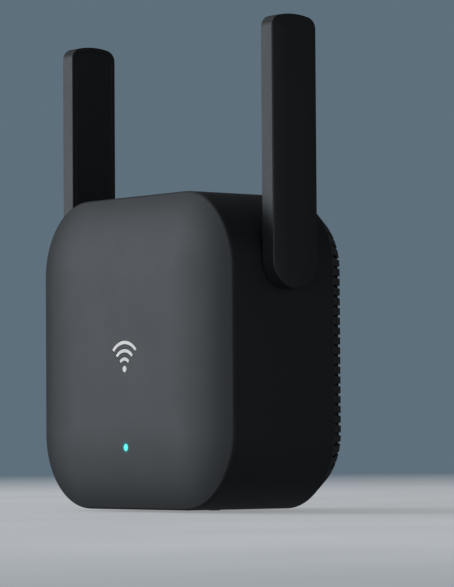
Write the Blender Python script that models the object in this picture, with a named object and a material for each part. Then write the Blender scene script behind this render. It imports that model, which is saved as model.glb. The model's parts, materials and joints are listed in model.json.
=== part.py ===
"""Plug-in wifi range extender: a pillow-fronted square housing with two folding paddle antennas.

World frame, in metres: +X right as seen from the front, -Y out of the front face, +Z up.
The origin is the middle of the plug's seating face, halfway between the two blades.
Most sub-parts hang on the empty "body_frame", at the middle of the housing's square section,
so their numbers are measured from the housing's centre line. Sizes below are millimetres.
"""

import math

import bmesh
import bpy
from mathutils import Matrix, Vector

MM = 0.001
SIDES = ((-1, "left"), (1, "right"))

# ---- Driving dimensions, mm ---------------------------------------------------------------
BODY_HALF = 37.75  # half of the square section's side
CORNER_RADIUS = 18.3
SIDE_DEPTH = 30.7  # straight side wall, front crease to the start of the rear taper
TAPER_DEPTH = 5.5
TAPER_INSET = 3.9
CROWN = 3.15  # how far the middle of the front cover stands out from its edge
CROWN_EDGE = 20.0  # width of the curved margin round the cover's flat middle
WALL = 1.8
PLUG_RISE = 8.0  # the plug sits this far above the housing's centre

ANTENNA_LENGTH = 64.55
ANTENNA_WIDTH = 13.3
ANTENNA_THICKNESS = 4.65
TIP_CROWN_RADIUS = 20.0  # shallow arc across the tip
TIP_CORNER_RADIUS = 2.8
ANTENNA_GAP = 0.25  # between the antenna's inner face and the housing's side
PIVOT_BEHIND_CREASE = 15.65
PIVOT_RISE = 20.75

BLADE_LENGTH = 17.5
BLADE_WIDTH = 6.4
BLADE_THICKNESS = 1.5
BLADE_SPACING = 12.7
PLUG_NECK = (12.0, 7.5)  # half width and half height of the insert where it fills the back
PLUG_FLANGE = (14.0, 9.5)

BUTTON_RADIUS = 1.45
BUTTON_PROUD = 0.58
BUTTON_BEHIND_CREASE = 24.0

SLOT_WIDTH = 0.72
SLOT_PITCH = 2.34
SLOTS_PER_SIDE = 18
SLOTS_PER_CORNER = 8
SLOT_START = 0.42  # share of the taper's depth that stays whole in front of the slots

# ---- Places that follow from them ---------------------------------------------------------
Y_TAPER = -TAPER_DEPTH
Y_CREASE = Y_TAPER - SIDE_DEPTH
Y_PIVOT = Y_CREASE + PIVOT_BEHIND_CREASE
Y_BUTTON = Y_CREASE + BUTTON_BEHIND_CREASE
CORNER_CENTRE = BODY_HALF - CORNER_RADIUS
GAP = 0.3  # between pieces that meet
FINE_GAP = 0.12  # fine reveal round inlaid pieces

COVER_INSET = 0.06  # from the housing's outer face to the cover's rim
COVER_BEVEL = 0.35
RIM_DEPTH = 0.85  # the rim reaches this far back, over the housing's front edge
PLATE_INSET = 0.4  # the cover behind its rim, which fills the housing's rebate
COVER_THICKNESS = 1.7
COVER_HALF = BODY_HALF - COVER_INSET - COVER_BEVEL  # where the crown meets the rim's bevel
LIP_WIDTH = 0.28  # the housing's front edge, round the rebate
Y_RIM_BACK = Y_CREASE + RIM_DEPTH
Y_SHOULDER = Y_CREASE + 1.65  # ledge inside the housing that the cover sits on
Y_FRONT_WALL = Y_CREASE + 3.3
Y_FRONT_WALL_BACK = Y_FRONT_WALL + 1.6
SKIRT_INSET = WALL + 0.4
SKIRT_WALL = 1.2

REAR_FLOOR = 1.8
REAR_WALL = 2.2
TONGUE_DEPTH = 3.0
TONGUE_WALL = 1.25
PARTING_GAP = 0.15

BOSS_X = 26.5  # the four long bosses that take the housing screws
BOSS_Z = 28.6
BOSS_RADIUS = 3.0
BOSS_PILOT = 1.0
POST_X = 24.0  # the two posts that carry the radio board
POST_RADIUS = 2.2
POST_PILOT = 0.8
SCREW_HOLE = 1.2

PAD_RADIUS = 7.0  # flat pad inside the housing's side, round each antenna pivot
PAD_DEPTH = 4.15  # from the side's outer face to the pad's flat inner face
PIVOT_RADIUS = 4.0
PIVOT_HOLE = 4.15
PIVOT_BORE = 2.4
PIVOT_LENGTH = 6.95  # from the antenna's inner face to the tip of its hollow pivot
GROOVE_DEPTH = 0.5
WASHER_RADIUS = 6.0
WASHER_THICKNESS = 0.5
CLIP_RADIUS = 5.6
CLIP_THICKNESS = 0.8
TRAY_WALL = 1.1
TRAY_FACE = 1.0
TRAY_EDGE = 0.45
LID_THICKNESS = 0.9
LEAD_RADIUS = 0.55

MAIN_BOARD_BACK = -19.8
MAIN_BOARD_FRONT = -21.0
POWER_BOARD_BACK = -7.4
POWER_BOARD_FRONT = -8.6
Y_RADIO_PARTS = MAIN_BOARD_FRONT - GAP  # where parts stand on the radio board's front
Y_POWER_PARTS = POWER_BOARD_FRONT - GAP
SHIELD_Z = 4.0
SHIELD_HEIGHT = 3.0
SHIELD_WALL = 0.4
LED_HEIGHT = 0.7

LED_Z = -22.8
PIPE_RADIUS = 0.85
PIPE_FLANGE = 1.1
EMBLEM_BASE_Z = -4.0
EMBLEM_RADII = (2.4, 4.4, 6.4)
EMBLEM_STROKE = 0.95
EMBLEM_SPREAD = math.radians(46)
EMBLEM_DOT = 0.85
EMBLEM_DEPTH = 0.35

LEAST_RADIUS = 0.4  # of an outline's corners, however far it is moved inwards
ARC_STEPS = 7  # facets in each rounded corner
CROWN_STEPS = 6
ROUND_STEPS = 24


# ---- Materials ----------------------------------------------------------------------------
def material(name, colour, roughness, metallic=0.0):
    made = bpy.data.materials.new(name)
    made.use_nodes = True
    shader = made.node_tree.nodes["Principled BSDF"]
    shader.inputs["Base Color"].default_value = (*colour, 1.0)
    shader.inputs["Roughness"].default_value = roughness
    shader.inputs["Metallic"].default_value = metallic
    return made


FINISHES = {
    "cover_plastic": ((0.050, 0.053, 0.056), 0.55, 0.0),
    "housing_plastic": ((0.014, 0.014, 0.015), 0.5, 0.0),
    "rear_plastic": ((0.016, 0.016, 0.017), 0.55, 0.0),
    "antenna_plastic": ((0.018, 0.018, 0.019), 0.5, 0.0),
    "button_plastic": ((0.012, 0.012, 0.012), 0.4, 0.0),
    "emblem_metal": ((0.72, 0.74, 0.76), 0.3, 1.0),
    "light_pipe": ((0.20, 0.92, 0.95), 0.2, 0.0),
    "plated_brass": ((0.70, 0.68, 0.62), 0.25, 1.0),
    "plug_moulding": ((0.020, 0.020, 0.021), 0.45, 0.0),
    "circuit_board": ((0.02, 0.16, 0.07), 0.4, 0.0),
    "tinned_steel": ((0.62, 0.63, 0.64), 0.35, 1.0),
    "chip_epoxy": ((0.02, 0.02, 0.022), 0.5, 0.0),
    "silicone_pad": ((0.45, 0.50, 0.58), 0.7, 0.0),
    "aluminium": ((0.75, 0.76, 0.77), 0.4, 1.0),
    "ferrite": ((0.06, 0.06, 0.065), 0.6, 0.0),
    "winding_tape": ((0.85, 0.62, 0.08), 0.45, 0.0),
    "capacitor_sleeve": ((0.03, 0.05, 0.16), 0.35, 0.0),
    "ceramic_blue": ((0.06, 0.22, 0.55), 0.4, 0.0),
    "fuse_body": ((0.75, 0.70, 0.55), 0.4, 0.0),
    "insulation_film": ((0.80, 0.76, 0.55), 0.5, 0.0),
    "coax_jacket": ((0.03, 0.03, 0.03), 0.45, 0.0),
    "screw_steel": ((0.35, 0.35, 0.36), 0.35, 1.0),
    "spring_steel": ((0.50, 0.50, 0.52), 0.3, 1.0),
    "switch_body": ((0.03, 0.03, 0.03), 0.45, 0.0),
    "led_package": ((0.85, 0.85, 0.80), 0.4, 0.0),
}


def clear_scene():
    for old in list(bpy.data.objects):
        bpy.data.objects.remove(old, do_unlink=True)


def add_empty(name, location, parent=None):
    empty = bpy.data.objects.new(name, None)
    empty.location = Vector(location) * MM
    empty.parent = parent
    bpy.context.scene.collection.objects.link(empty)
    return empty


def add_object(name, mesh_data, finish, location=(0, 0, 0), parent=None, smooth=False):
    """Turns a bmesh in millimetres into an object with one material of its own."""
    bmesh.ops.recalc_face_normals(mesh_data, faces=mesh_data.faces)
    bmesh.ops.scale(mesh_data, vec=(MM, MM, MM), verts=mesh_data.verts)
    mesh = bpy.data.meshes.new(name)
    mesh_data.to_mesh(mesh)
    mesh_data.free()
    if smooth:
        mesh.shade_smooth()
        mesh.set_sharp_from_angle(angle=math.radians(35))
    mesh.materials.append(material(name, *FINISHES[finish]))
    made = bpy.data.objects.new(name, mesh)
    made.location = Vector(location) * MM
    made.parent = parent
    bpy.context.scene.collection.objects.link(made)
    return made


def add_cutter(name, mesh_data, location=(0, 0, 0), parent=None):
    """A helper solid for a Boolean, left out of the render."""
    bmesh.ops.recalc_face_normals(mesh_data, faces=mesh_data.faces)
    bmesh.ops.scale(mesh_data, vec=(MM, MM, MM), verts=mesh_data.verts)
    mesh = bpy.data.meshes.new(name)
    mesh_data.to_mesh(mesh)
    mesh_data.free()
    made = bpy.data.objects.new(name, mesh)
    made.location = Vector(location) * MM
    made.parent = parent
    made.hide_render = True
    made.display_type = "WIRE"
    bpy.context.scene.collection.objects.link(made)
    return made


def combine(target, other, operation):
    modifier = target.modifiers.new(f"{operation.lower()} {other.name}", "BOOLEAN")
    modifier.operation = operation
    modifier.solver = "EXACT"
    modifier.object = other


def soften(target, width, segments=2):
    modifier = target.modifiers.new("softened edges", "BEVEL")
    modifier.width = width * MM
    modifier.segments = segments
    modifier.limit_method = "ANGLE"
    modifier.angle_limit = math.radians(40)


# ---- Shape builders, in millimetres -------------------------------------------------------
def rounded_square(half, radius, half_z=None, steps=ARC_STEPS):
    """Points (x, z) round a rectangle with arc corners, anticlockwise from its right side."""
    half_z = half if half_z is None else half_z
    points = []
    for corner, (sign_x, sign_z) in enumerate(((1, 1), (-1, 1), (-1, -1), (1, -1))):
        centre_x = sign_x * (half - radius)
        centre_z = sign_z * (half_z - radius)
        for step in range(steps + 1):
            angle = math.radians(90) * (corner + step / steps)
            points.append((centre_x + radius * math.cos(angle), centre_z + radius * math.sin(angle)))
    return points


def section(inset):
    """The housing's outline, moved inwards by an even amount."""
    return rounded_square(BODY_HALF - inset, max(CORNER_RADIUS - inset, LEAST_RADIUS))


def ring_at(outline, y):
    return [(x, y, z) for x, z in outline]


def loft(rings, into=None):
    """Skins a row of rings and closes both ends with a flat face."""
    mesh_data = into or bmesh.new()
    rows = [[mesh_data.verts.new(point) for point in ring] for ring in rings]
    count = len(rows[0])
    for first, second in zip(rows, rows[1:]):
        for i in range(count):
            j = (i + 1) % count
            mesh_data.faces.new((first[i], first[j], second[j], second[i]))
    mesh_data.faces.new(rows[0])
    mesh_data.faces.new(rows[-1])
    return mesh_data


def circle(radius, steps=ROUND_STEPS):
    return [
        (radius * math.cos(math.tau * k / steps), radius * math.sin(math.tau * k / steps))
        for k in range(steps)
    ]


def turned_y(profile, steps=ROUND_STEPS, into=None, at=(0, 0)):
    """A solid turned about Y through (x, z) = at. The profile is a row of (radius, y)."""
    rings = [[(at[0] + x, y, at[1] + z) for x, z in circle(r, steps)] for r, y in profile]
    return loft(rings, into)


def turned_x(profile, steps=ROUND_STEPS):
    """A solid turned about X. The profile is a row of (radius, x)."""
    return loft([[(x, a, b) for a, b in circle(r, steps)] for r, x in profile])


def turned_z(profile, steps=ROUND_STEPS):
    """A solid turned about Z. The profile is a row of (radius, z)."""
    return loft([[(a, b, z) for a, b in circle(r, steps)] for r, z in profile])


def washer_x(inner, outer, x0, x1, steps=20):
    """A flat ring about X, as a band of four edges closed on itself."""
    mesh_data = bmesh.new()
    profile = ((inner, x0), (outer, x0), (outer, x1), (inner, x1))
    rows = [
        [mesh_data.verts.new((x, a, b)) for a, b in circle(r, steps)] for r, x in profile
    ]
    for first, second in zip(rows, rows[1:] + rows[:1]):
        for i in range(steps):
            j = (i + 1) % steps
            mesh_data.faces.new((first[i], first[j], second[j], second[i]))
    return mesh_data


def cuboid(size, centre=(0, 0, 0), into=None):
    mesh_data = into or bmesh.new()
    matrix = Matrix.Translation(centre) @ Matrix.Diagonal((*size, 1))
    bmesh.ops.create_cube(mesh_data, size=1, matrix=matrix)
    return mesh_data


def prism_y(outline, y0, y1, into=None):
    return loft([ring_at(outline, y0), ring_at(outline, y1)], into)


def add_block(name, size, centre, finish, parent, edge=0.0):
    block = add_object(name, cuboid(size), finish, centre, parent)
    if edge:
        soften(block, edge)
    return block


def add_tube(name, points, radius, finish, parent, location=(0, 0, 0)):
    """A round lead along a smooth curve through the given points, with closed ends."""
    route = smooth_route([Vector(point) for point in points])
    curve = bpy.data.curves.new(name, "CURVE")
    curve.dimensions = "3D"
    curve.bevel_depth = radius * MM
    curve.bevel_resolution = 1
    curve.use_fill_caps = True
    spline = curve.splines.new("POLY")
    spline.points.add(len(route) - 1)
    for target, point in zip(spline.points, route):
        target.co = (*(point * MM), 1.0)
    curve.materials.append(material(name, *FINISHES[finish]))
    made = bpy.data.objects.new(name, curve)
    made.location = Vector(location) * MM
    made.parent = parent
    bpy.context.scene.collection.objects.link(made)
    return made


def smooth_route(points, steps=2):
    """Catmull-Rom curve through the points."""
    padded = [2 * points[0] - points[1], *points, 2 * points[-1] - points[-2]]
    route = []
    for a, b, c, d in zip(padded, padded[1:], padded[2:], padded[3:]):
        for k in range(steps):
            t = k / steps
            route.append(
                0.5
                * (
                    2 * b
                    + (c - a) * t
                    + (2 * a - 5 * b + 4 * c - d) * t * t
                    + (3 * b - a - 3 * c + d) * t * t * t
                )
            )
    route.append(points[-1])
    return route


# ---- Housing ------------------------------------------------------------------------------
def crown_height(share):
    """Height over the cover's edge, for a share of 0 at its flat middle and 1 at its edge."""
    return CROWN * (1 - share**2)


def crown_share(distance):
    """That share, for a point on a centre line of the cover this far from its middle."""
    return max(0.0, (distance - COVER_HALF + CROWN_EDGE) / CROWN_EDGE)


def crown_rings(steps, y_shift, edge_inset):
    """Rings of the pillow shape, from its flat middle out to its edge, all an even step apart."""
    rings = []
    for step in range(steps + 1):
        share = step / steps
        outline = section(edge_inset + CROWN_EDGE * (1 - share))
        rings.append(ring_at(outline, Y_CREASE - crown_height(share) + y_shift))
    return rings


def make_front_cover(frame):
    """A pillow-shaped plate whose rim covers the housing's front edge, and a skirt behind it."""
    rim = section(COVER_INSET)
    plate = section(PLATE_INSET)
    skirt = section(SKIRT_INSET)
    skirt_inner = section(SKIRT_INSET + SKIRT_WALL)
    plate_back = Y_SHOULDER - PARTING_GAP
    skirt_back = Y_FRONT_WALL - GAP
    rings = crown_rings(CROWN_STEPS, 0, COVER_INSET + COVER_BEVEL)
    rings += [
        ring_at(rim, Y_CREASE + COVER_BEVEL),
        ring_at(rim, Y_RIM_BACK),
        ring_at(plate, Y_RIM_BACK),
        ring_at(plate, plate_back),
        ring_at(skirt, plate_back),
        ring_at(skirt, skirt_back),
        ring_at(skirt_inner, skirt_back),
        ring_at(skirt_inner, Y_CREASE + COVER_THICKNESS),
    ]
    inner_crown = crown_rings(3, COVER_THICKNESS, SKIRT_INSET + SKIRT_WALL + 0.8)
    rings += reversed(inner_crown[:-1])
    cover = add_object("front_cover", loft(rings), "cover_plastic", parent=frame, smooth=True)
    radius = PIPE_RADIUS + FINE_GAP
    hole = turned_y(((radius, Y_CREASE - CROWN - 1), (radius, Y_SHOULDER)), 20)
    combine(cover, add_cutter("cut_light_hole", hole, (0, 0, LED_Z), frame), "DIFFERENCE")
    pockets = bmesh.new()
    pocket_floor = EMBLEM_DEPTH + FINE_GAP
    for outline in emblem_outlines(FINE_GAP):
        prism_y(outline, -1, pocket_floor, pockets)
    place = (0, Y_CREASE - CROWN, EMBLEM_BASE_Z)
    combine(cover, add_cutter("cut_emblem_pockets", pockets, place, frame), "DIFFERENCE")


def arc_outline(radius, stroke, spread, steps=9):
    """A thick arc centred on straight up."""
    outer = radius + stroke / 2
    inner = radius - stroke / 2
    angles = [math.radians(90) + spread * (1 - 2 * k / steps) for k in range(steps + 1)]
    points = [(outer * math.cos(a), outer * math.sin(a)) for a in angles]
    points += [(inner * math.cos(a), inner * math.sin(a)) for a in reversed(angles)]
    return points


def emblem_outlines(grow=0.0):
    """A dot and three widening arcs: the plain sign for a radio signal."""
    outlines = [circle(EMBLEM_DOT + grow, 20)]
    for radius in EMBLEM_RADII:
        spread = EMBLEM_SPREAD + grow / radius
        outlines.append(arc_outline(radius, EMBLEM_STROKE + 2 * grow, spread))
    return outlines


def make_emblem(frame):
    names = ("emblem_dot", "emblem_arc_inner", "emblem_arc_middle", "emblem_arc_outer")
    place = (0, Y_CREASE - CROWN, EMBLEM_BASE_Z)
    for name, outline in zip(names, emblem_outlines()):
        add_object(name, prism_y(outline, 0, EMBLEM_DEPTH), "emblem_metal", place, frame)


def make_main_housing(frame):
    """The black sleeve with its front wall: antenna holes, button hole, posts and pads."""
    inner = section(WALL)
    rings = [
        ring_at(inner, Y_FRONT_WALL),
        ring_at(inner, Y_SHOULDER),
        ring_at(section(LIP_WIDTH), Y_SHOULDER),
        ring_at(section(LIP_WIDTH), Y_RIM_BACK + PARTING_GAP),
        ring_at(section(0), Y_RIM_BACK + PARTING_GAP),
        ring_at(section(0), Y_TAPER - PARTING_GAP),
        ring_at(inner, Y_TAPER - PARTING_GAP),
        ring_at(inner, Y_FRONT_WALL_BACK),
    ]
    housing = add_object("main_housing", loft(rings), "housing_plastic", parent=frame, smooth=True)
    add_pads_and_posts(housing, frame)
    cut_front_wall(housing, frame)
    for side, word in SIDES:
        hole = turned_x(((PIVOT_HOLE, side * (BODY_HALF - 8)), (PIVOT_HOLE, side * (BODY_HALF + 2))))
        place = (0, Y_PIVOT, PIVOT_RISE)
        combine(housing, add_cutter(f"cut_pivot_{word}", hole, place, frame), "DIFFERENCE")
    radius = BUTTON_RADIUS + 0.2
    hole = turned_z(((radius, -1), (radius, WALL + 1)))
    place = (0, Y_BUTTON, -BODY_HALF)
    combine(housing, add_cutter("cut_button_hole", hole, place, frame), "DIFFERENCE")


def add_pads_and_posts(housing, frame):
    pad_outer = BODY_HALF - 2.5
    post_end = MAIN_BOARD_FRONT - GAP
    for side, word in SIDES:
        pad = turned_x(((PAD_RADIUS, side * (BODY_HALF - PAD_DEPTH)), (PAD_RADIUS, side * pad_outer)))
        place = (0, Y_PIVOT, PIVOT_RISE)
        combine(housing, add_cutter(f"add_pad_{word}", pad, place, frame), "UNION")
        post = turned_y(((POST_RADIUS, Y_FRONT_WALL_BACK - 0.5), (POST_RADIUS, post_end)), 16)
        place = (side * POST_X, 0, 0)
        combine(housing, add_cutter(f"add_post_{word}", post, place, frame), "UNION")


def cut_front_wall(housing, frame):
    """Screw holes, the posts' pilot holes and the light pipe's hole, as one cutter."""
    cuts = bmesh.new()
    through = (Y_FRONT_WALL - 1, Y_FRONT_WALL_BACK + 1)
    for x, z in boss_places():
        turned_y([(SCREW_HOLE, y) for y in through], 16, cuts, (x, z))
    for side, _ in SIDES:
        pilot = (MAIN_BOARD_FRONT - 7, MAIN_BOARD_FRONT + 1)
        turned_y([(POST_PILOT, y) for y in pilot], 12, cuts, (side * POST_X, 0))
    turned_y([(PIPE_FLANGE + 0.2, y) for y in through], 20, cuts, (0, LED_Z))
    combine(housing, add_cutter("cut_front_wall_holes", cuts, (0, 0, 0), frame), "DIFFERENCE")


def boss_places():
    return [(side * BOSS_X, level * BOSS_Z) for level in (1, -1) for side in (-1, 1)]


def slot_places():
    """Yields each vent slot's place on the rim's section (x, z) and its outward angle."""
    first = -(SLOTS_PER_SIDE - 1) / 2 * SLOT_PITCH
    rim = BODY_HALF - TAPER_INSET
    rim_radius = CORNER_RADIUS - TAPER_INSET
    quarter = math.radians(90)
    for side in range(4):
        turn = quarter * side
        for k in range(SLOTS_PER_SIDE):
            along = first + SLOT_PITCH * k
            x = rim * math.cos(turn) - along * math.sin(turn)
            z = rim * math.sin(turn) + along * math.cos(turn)
            yield x, z, turn
        reach = CORNER_CENTRE * math.sqrt(2)
        centre_x = reach * math.cos(turn + quarter / 2)
        centre_z = reach * math.sin(turn + quarter / 2)
        for k in range(1, SLOTS_PER_CORNER + 1):
            angle = turn + quarter * k / (SLOTS_PER_CORNER + 1)
            x = centre_x + rim_radius * math.cos(angle)
            z = centre_z + rim_radius * math.sin(angle)
            yield x, z, angle


def make_rear_cover(frame):
    """A shallow dish with a tapered wall, a ring of vent slots and four screw bosses."""
    tongue_inner = section(SKIRT_INSET + TONGUE_WALL)
    rings = [
        ring_at(section(TAPER_INSET + REAR_WALL), -REAR_FLOOR),
        ring_at(tongue_inner, Y_TAPER),
        ring_at(tongue_inner, Y_TAPER - TONGUE_DEPTH),
        ring_at(section(SKIRT_INSET), Y_TAPER - TONGUE_DEPTH),
        ring_at(section(SKIRT_INSET), Y_TAPER),
        ring_at(section(0), Y_TAPER),
        ring_at(section(TAPER_INSET), 0),
    ]
    cover = add_object("rear_cover", loft(rings), "rear_plastic", parent=frame, smooth=True)
    boss_front = Y_FRONT_WALL_BACK + GAP
    bosses = bmesh.new()
    cuts = bmesh.new()
    for x, z in boss_places():
        turned_y(((BOSS_RADIUS, boss_front), (BOSS_RADIUS, -REAR_FLOOR / 3)), 20, bosses, (x, z))
        turned_y(((BOSS_PILOT, boss_front - 1), (BOSS_PILOT, boss_front + 9)), 12, cuts, (x, z))
    combine(cover, add_cutter("add_screw_bosses", bosses, (0, 0, 0), frame), "UNION")
    opening = rounded_square(PLUG_NECK[0] + GAP, 3.0, PLUG_NECK[1] + GAP, 3)
    prism_y([(x, z + PLUG_RISE) for x, z in opening], -REAR_FLOOR - 1, 1, cuts)
    combine(cover, add_cutter("cut_plug_opening", cuts, (0, 0, 0), frame), "DIFFERENCE")
    cut_vent_slots(cover, frame)


def cut_vent_slots(cover, frame):
    """Radial slots through the back part of the taper and the outer margin of the floor."""
    slots = bmesh.new()
    front = Y_TAPER * (1 - SLOT_START)
    back = 1.0
    inwards = 3.0
    outwards = 4.0
    size = Matrix.Diagonal((inwards + outwards, back - front, SLOT_WIDTH, 1))
    shift = Matrix.Translation(((outwards - inwards) / 2, (back + front) / 2, 0))
    for x, z, angle in slot_places():
        place = Matrix.Translation((x, 0, z)) @ Matrix.Rotation(-angle, 4, "Y")
        bmesh.ops.create_cube(slots, size=1, matrix=place @ shift @ size)
    combine(cover, add_cutter("cut_vent_slots", slots, (0, 0, 0), frame), "DIFFERENCE")


def add_screw(name, head, shank, length, start, x, z, direction, frame):
    """A pan-head screw along Y, from the top of its head at y = start."""
    depth = head / 2
    profile = ((head * 0.8, 0), (head, depth / 4), (head, depth), (shank, depth), (shank, length))
    made = turned_y([(r, start + direction * d) for r, d in profile], 16)
    add_object(name, made, "screw_steel", (x, 0, z), frame, True)


def make_screws(frame):
    housing_head = 2.3
    start = Y_FRONT_WALL - FINE_GAP - housing_head / 2
    names = ("top_left", "top_right", "bottom_left", "bottom_right")
    for name, (x, z) in zip(names, boss_places()):
        add_screw(f"housing_screw_{name}", housing_head, 0.85, 9.5, start, x, z, 1, frame)
    board_head = 1.9
    start = MAIN_BOARD_BACK + FINE_GAP + board_head / 2
    for side, word in SIDES:
        add_screw(f"board_screw_{word}", board_head, 0.65, 6.5, start, side * POST_X, 0, -1, frame)


# ---- Plug ---------------------------------------------------------------------------------
def make_plug(frame):
    """The insulating insert set into the back, with its two flat blades and their contacts."""
    flange = rounded_square(PLUG_FLANGE[0], 3.0, PLUG_FLANGE[1], 3)
    neck = rounded_square(PLUG_NECK[0], 2.7, PLUG_NECK[1], 3)
    flange_back = -REAR_FLOOR - GAP
    rings = [
        ring_at(flange, flange_back - 1.9),
        ring_at(flange, flange_back),
        ring_at(neck, flange_back),
        ring_at(neck, 0),
    ]
    insert = add_object("plug_insert", loft(rings), "plug_moulding", (0, 0, PLUG_RISE), frame)
    slots = bmesh.new()
    clearance = 0.2
    tail = 7.1
    for side, word in SIDES:
        size = (BLADE_THICKNESS + clearance, 8, BLADE_WIDTH + clearance)
        cuboid(size, (side * BLADE_SPACING / 2, -2, 0), slots)
        add_blade(f"plug_blade_{word}", side, tail, frame)
        contact_size = (1.2, 2.4, 5.0)
        centre = (side * (BLADE_SPACING / 2 + 1.9), 1.3 - tail, PLUG_RISE)
        add_block(f"blade_contact_{word}", contact_size, centre, "spring_steel", frame, 0.3)
    combine(insert, add_cutter("cut_blade_slots", slots, (0, 0, PLUG_RISE), frame), "DIFFERENCE")


def add_blade(name, side, tail, frame):
    size = (BLADE_THICKNESS, BLADE_LENGTH + tail, BLADE_WIDTH)
    blade = cuboid(size, (0, (BLADE_LENGTH - tail) / 2, 0))
    tip = [edge for edge in blade.edges if all(v.co.y > BLADE_LENGTH - 0.1 for v in edge.verts)]
    bmesh.ops.bevel(blade, geom=tip, offset=0.6, segments=2, affect="EDGES")
    add_object(name, blade, "plated_brass", (side * BLADE_SPACING / 2, 0, PLUG_RISE), frame)


# ---- Boards and what is on them -----------------------------------------------------------
def make_main_board(frame):
    """The radio board: a wide panel with a narrower tongue that reaches the reset switch."""
    half, top, waist, tongue, bottom = 27.5, 24.5, -25, 18, -32
    right = [(tongue, bottom), (tongue, waist), (half, waist), (half, top)]
    left = [(-x, z) for x, z in reversed(right)]
    panel = prism_y(right + left, MAIN_BOARD_FRONT, MAIN_BOARD_BACK)
    board = add_object("main_board", panel, "circuit_board", parent=frame)
    holes = bmesh.new()
    for side, _ in SIDES:
        through = ((1.1, MAIN_BOARD_FRONT - 1), (1.1, MAIN_BOARD_BACK + 1))
        turned_y(through, 12, holes, (side * POST_X, 0))
    combine(board, add_cutter("cut_board_holes", holes, (0, 0, 0), frame), "DIFFERENCE")
    make_shield_can(frame)
    y = Y_RADIO_PARTS
    pad_middle = y - SHIELD_HEIGHT - 0.9
    add_block("wifi_chip", (9, 1.0, 9), (0, y - 0.5, SHIELD_Z), "chip_epoxy", frame, 0.1)
    add_block("flash_chip", (6, 1.2, 5), (-19, y - 0.6, -12), "chip_epoxy", frame, 0.1)
    add_block("thermal_pad", (16, 1.1, 16), (0, pad_middle, SHIELD_Z), "silicone_pad", frame, 0.2)
    spreader_place = (0, pad_middle - 1.35, SHIELD_Z + 1)
    add_block("heat_spreader", (40, 1.0, 36), spreader_place, "aluminium", frame, 0.2)
    led_place = (0, y - LED_HEIGHT / 2, LED_Z)
    add_block("status_led", (1.6, LED_HEIGHT, 1.2), led_place, "led_package", frame)
    header_length = POWER_BOARD_FRONT - MAIN_BOARD_BACK - 2 * GAP
    header_place = (0, (MAIN_BOARD_BACK + POWER_BOARD_FRONT) / 2, 21.5)
    add_block("board_header", (12, abs(header_length), 2.5), header_place, "switch_body", frame)
    for side, word in SIDES:
        make_antenna_feed(side, word, frame)


def make_antenna_feed(side, word, frame):
    """The coaxial socket on the radio board and the lead from it to the antenna's pivot."""
    y = Y_RADIO_PARTS
    profile = ((1.6, y), (1.6, y - 0.5), (1.0, y - 0.5), (1.0, y - 1.1))
    place = (side * 20, 0, PIVOT_RISE - 6.95)
    socket = turned_y(profile, 20)
    add_object(f"antenna_socket_{word}", socket, "plated_brass", place, frame)
    points = (
        (side * 30.5, 0, 0),
        (side * 29.4, -1.2, -0.3),
        (side * 28.0, -3.6, -1.4),
        (side * 25.0, -5.0, -3.6),
        (side * 21.6, -4.4, -6.0),
        (side * 20.0, -2.9, -6.95),
    )
    add_tube(f"coax_lead_{word}", points, LEAD_RADIUS, "coax_jacket", frame, (0, Y_PIVOT, PIVOT_RISE))


def make_shield_can(frame):
    """A thin pressed lid over the radio chips, open towards the board."""
    outer = rounded_square(12, 0.8, 10, 2)
    inner = rounded_square(12 - SHIELD_WALL, 0.5, 10 - SHIELD_WALL, 2)
    top = Y_RADIO_PARTS - SHIELD_HEIGHT
    rings = [
        ring_at(outer, top),
        ring_at(outer, Y_RADIO_PARTS),
        ring_at(inner, Y_RADIO_PARTS),
        ring_at(inner, top + SHIELD_WALL),
    ]
    add_object("rf_shield_can", loft(rings), "tinned_steel", (0, 0, SHIELD_Z), frame)


def make_power_board(frame):
    """The mains supply, between the plug and the radio board."""
    middle = (POWER_BOARD_FRONT + POWER_BOARD_BACK) / 2
    thickness = POWER_BOARD_BACK - POWER_BOARD_FRONT
    add_block("power_board", (47, thickness, 49), (0, middle, -0.5), "circuit_board", frame)
    y = Y_POWER_PARTS
    transformer = (10, y - 4.3, -2)
    make_transformer_core(frame, transformer)
    blocks = (
        ("transformer_winding", (8.4, 8.6, 11.0), transformer, "winding_tape", 1.2),
        ("bridge_rectifier", (6.2, 2.6, 4.8), (-17, y - 1.3, 17), "chip_epoxy", 0.3),
        ("choke", (7.0, 7.0, 7.0), (-17, y - 3.5, 6), "ferrite", 1.5),
    )
    for name, size, centre, finish, edge in blocks:
        add_block(name, size, centre, finish, frame, edge)
    standing = (
        ("bulk_capacitor_upper", 4.0, 9.8, (-4, y, 3), "capacitor_sleeve"),
        ("bulk_capacitor_lower", 4.0, 9.8, (-13, y, -8), "capacitor_sleeve"),
        ("output_capacitor", 3.2, 9.0, (4, y, -18), "capacitor_sleeve"),
        ("fuse", 2.1, 8.0, (-8, y, 18), "fuse_body"),
    )
    for name, radius, height, base, finish in standing:
        profile = ((radius, 0), (radius, 0.5 - height), (radius - 0.5, -height))
        add_object(name, turned_y(profile, 20), finish, base, frame, True)
    disc = turned_x(((2.6, -1.6), (3.6, -1.0), (3.6, 1.0), (2.6, 1.6)), 20)
    add_object("y_capacitor", disc, "ceramic_blue", (17, y - 3.8, -18), frame, True)
    sheet_place = (0, MAIN_BOARD_BACK + 0.65, -3.5)
    add_block("insulation_sheet", (42, 0.3, 42), sheet_place, "insulation_film", frame)


def make_transformer_core(frame, centre):
    """A ferrite frame that wraps the winding's upper, lower and side faces."""
    depth = 2.6
    outline = rounded_square(7.2, 0.4, 8.4, 1)
    core = add_object("transformer_core", prism_y(outline, -depth, depth), "ferrite", centre, frame)
    window = prism_y(rounded_square(4.6, 0.4, 5.9, 1), -depth - 1, depth + 1)
    combine(core, add_cutter("cut_core_window", window, centre, frame), "DIFFERENCE")


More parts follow.
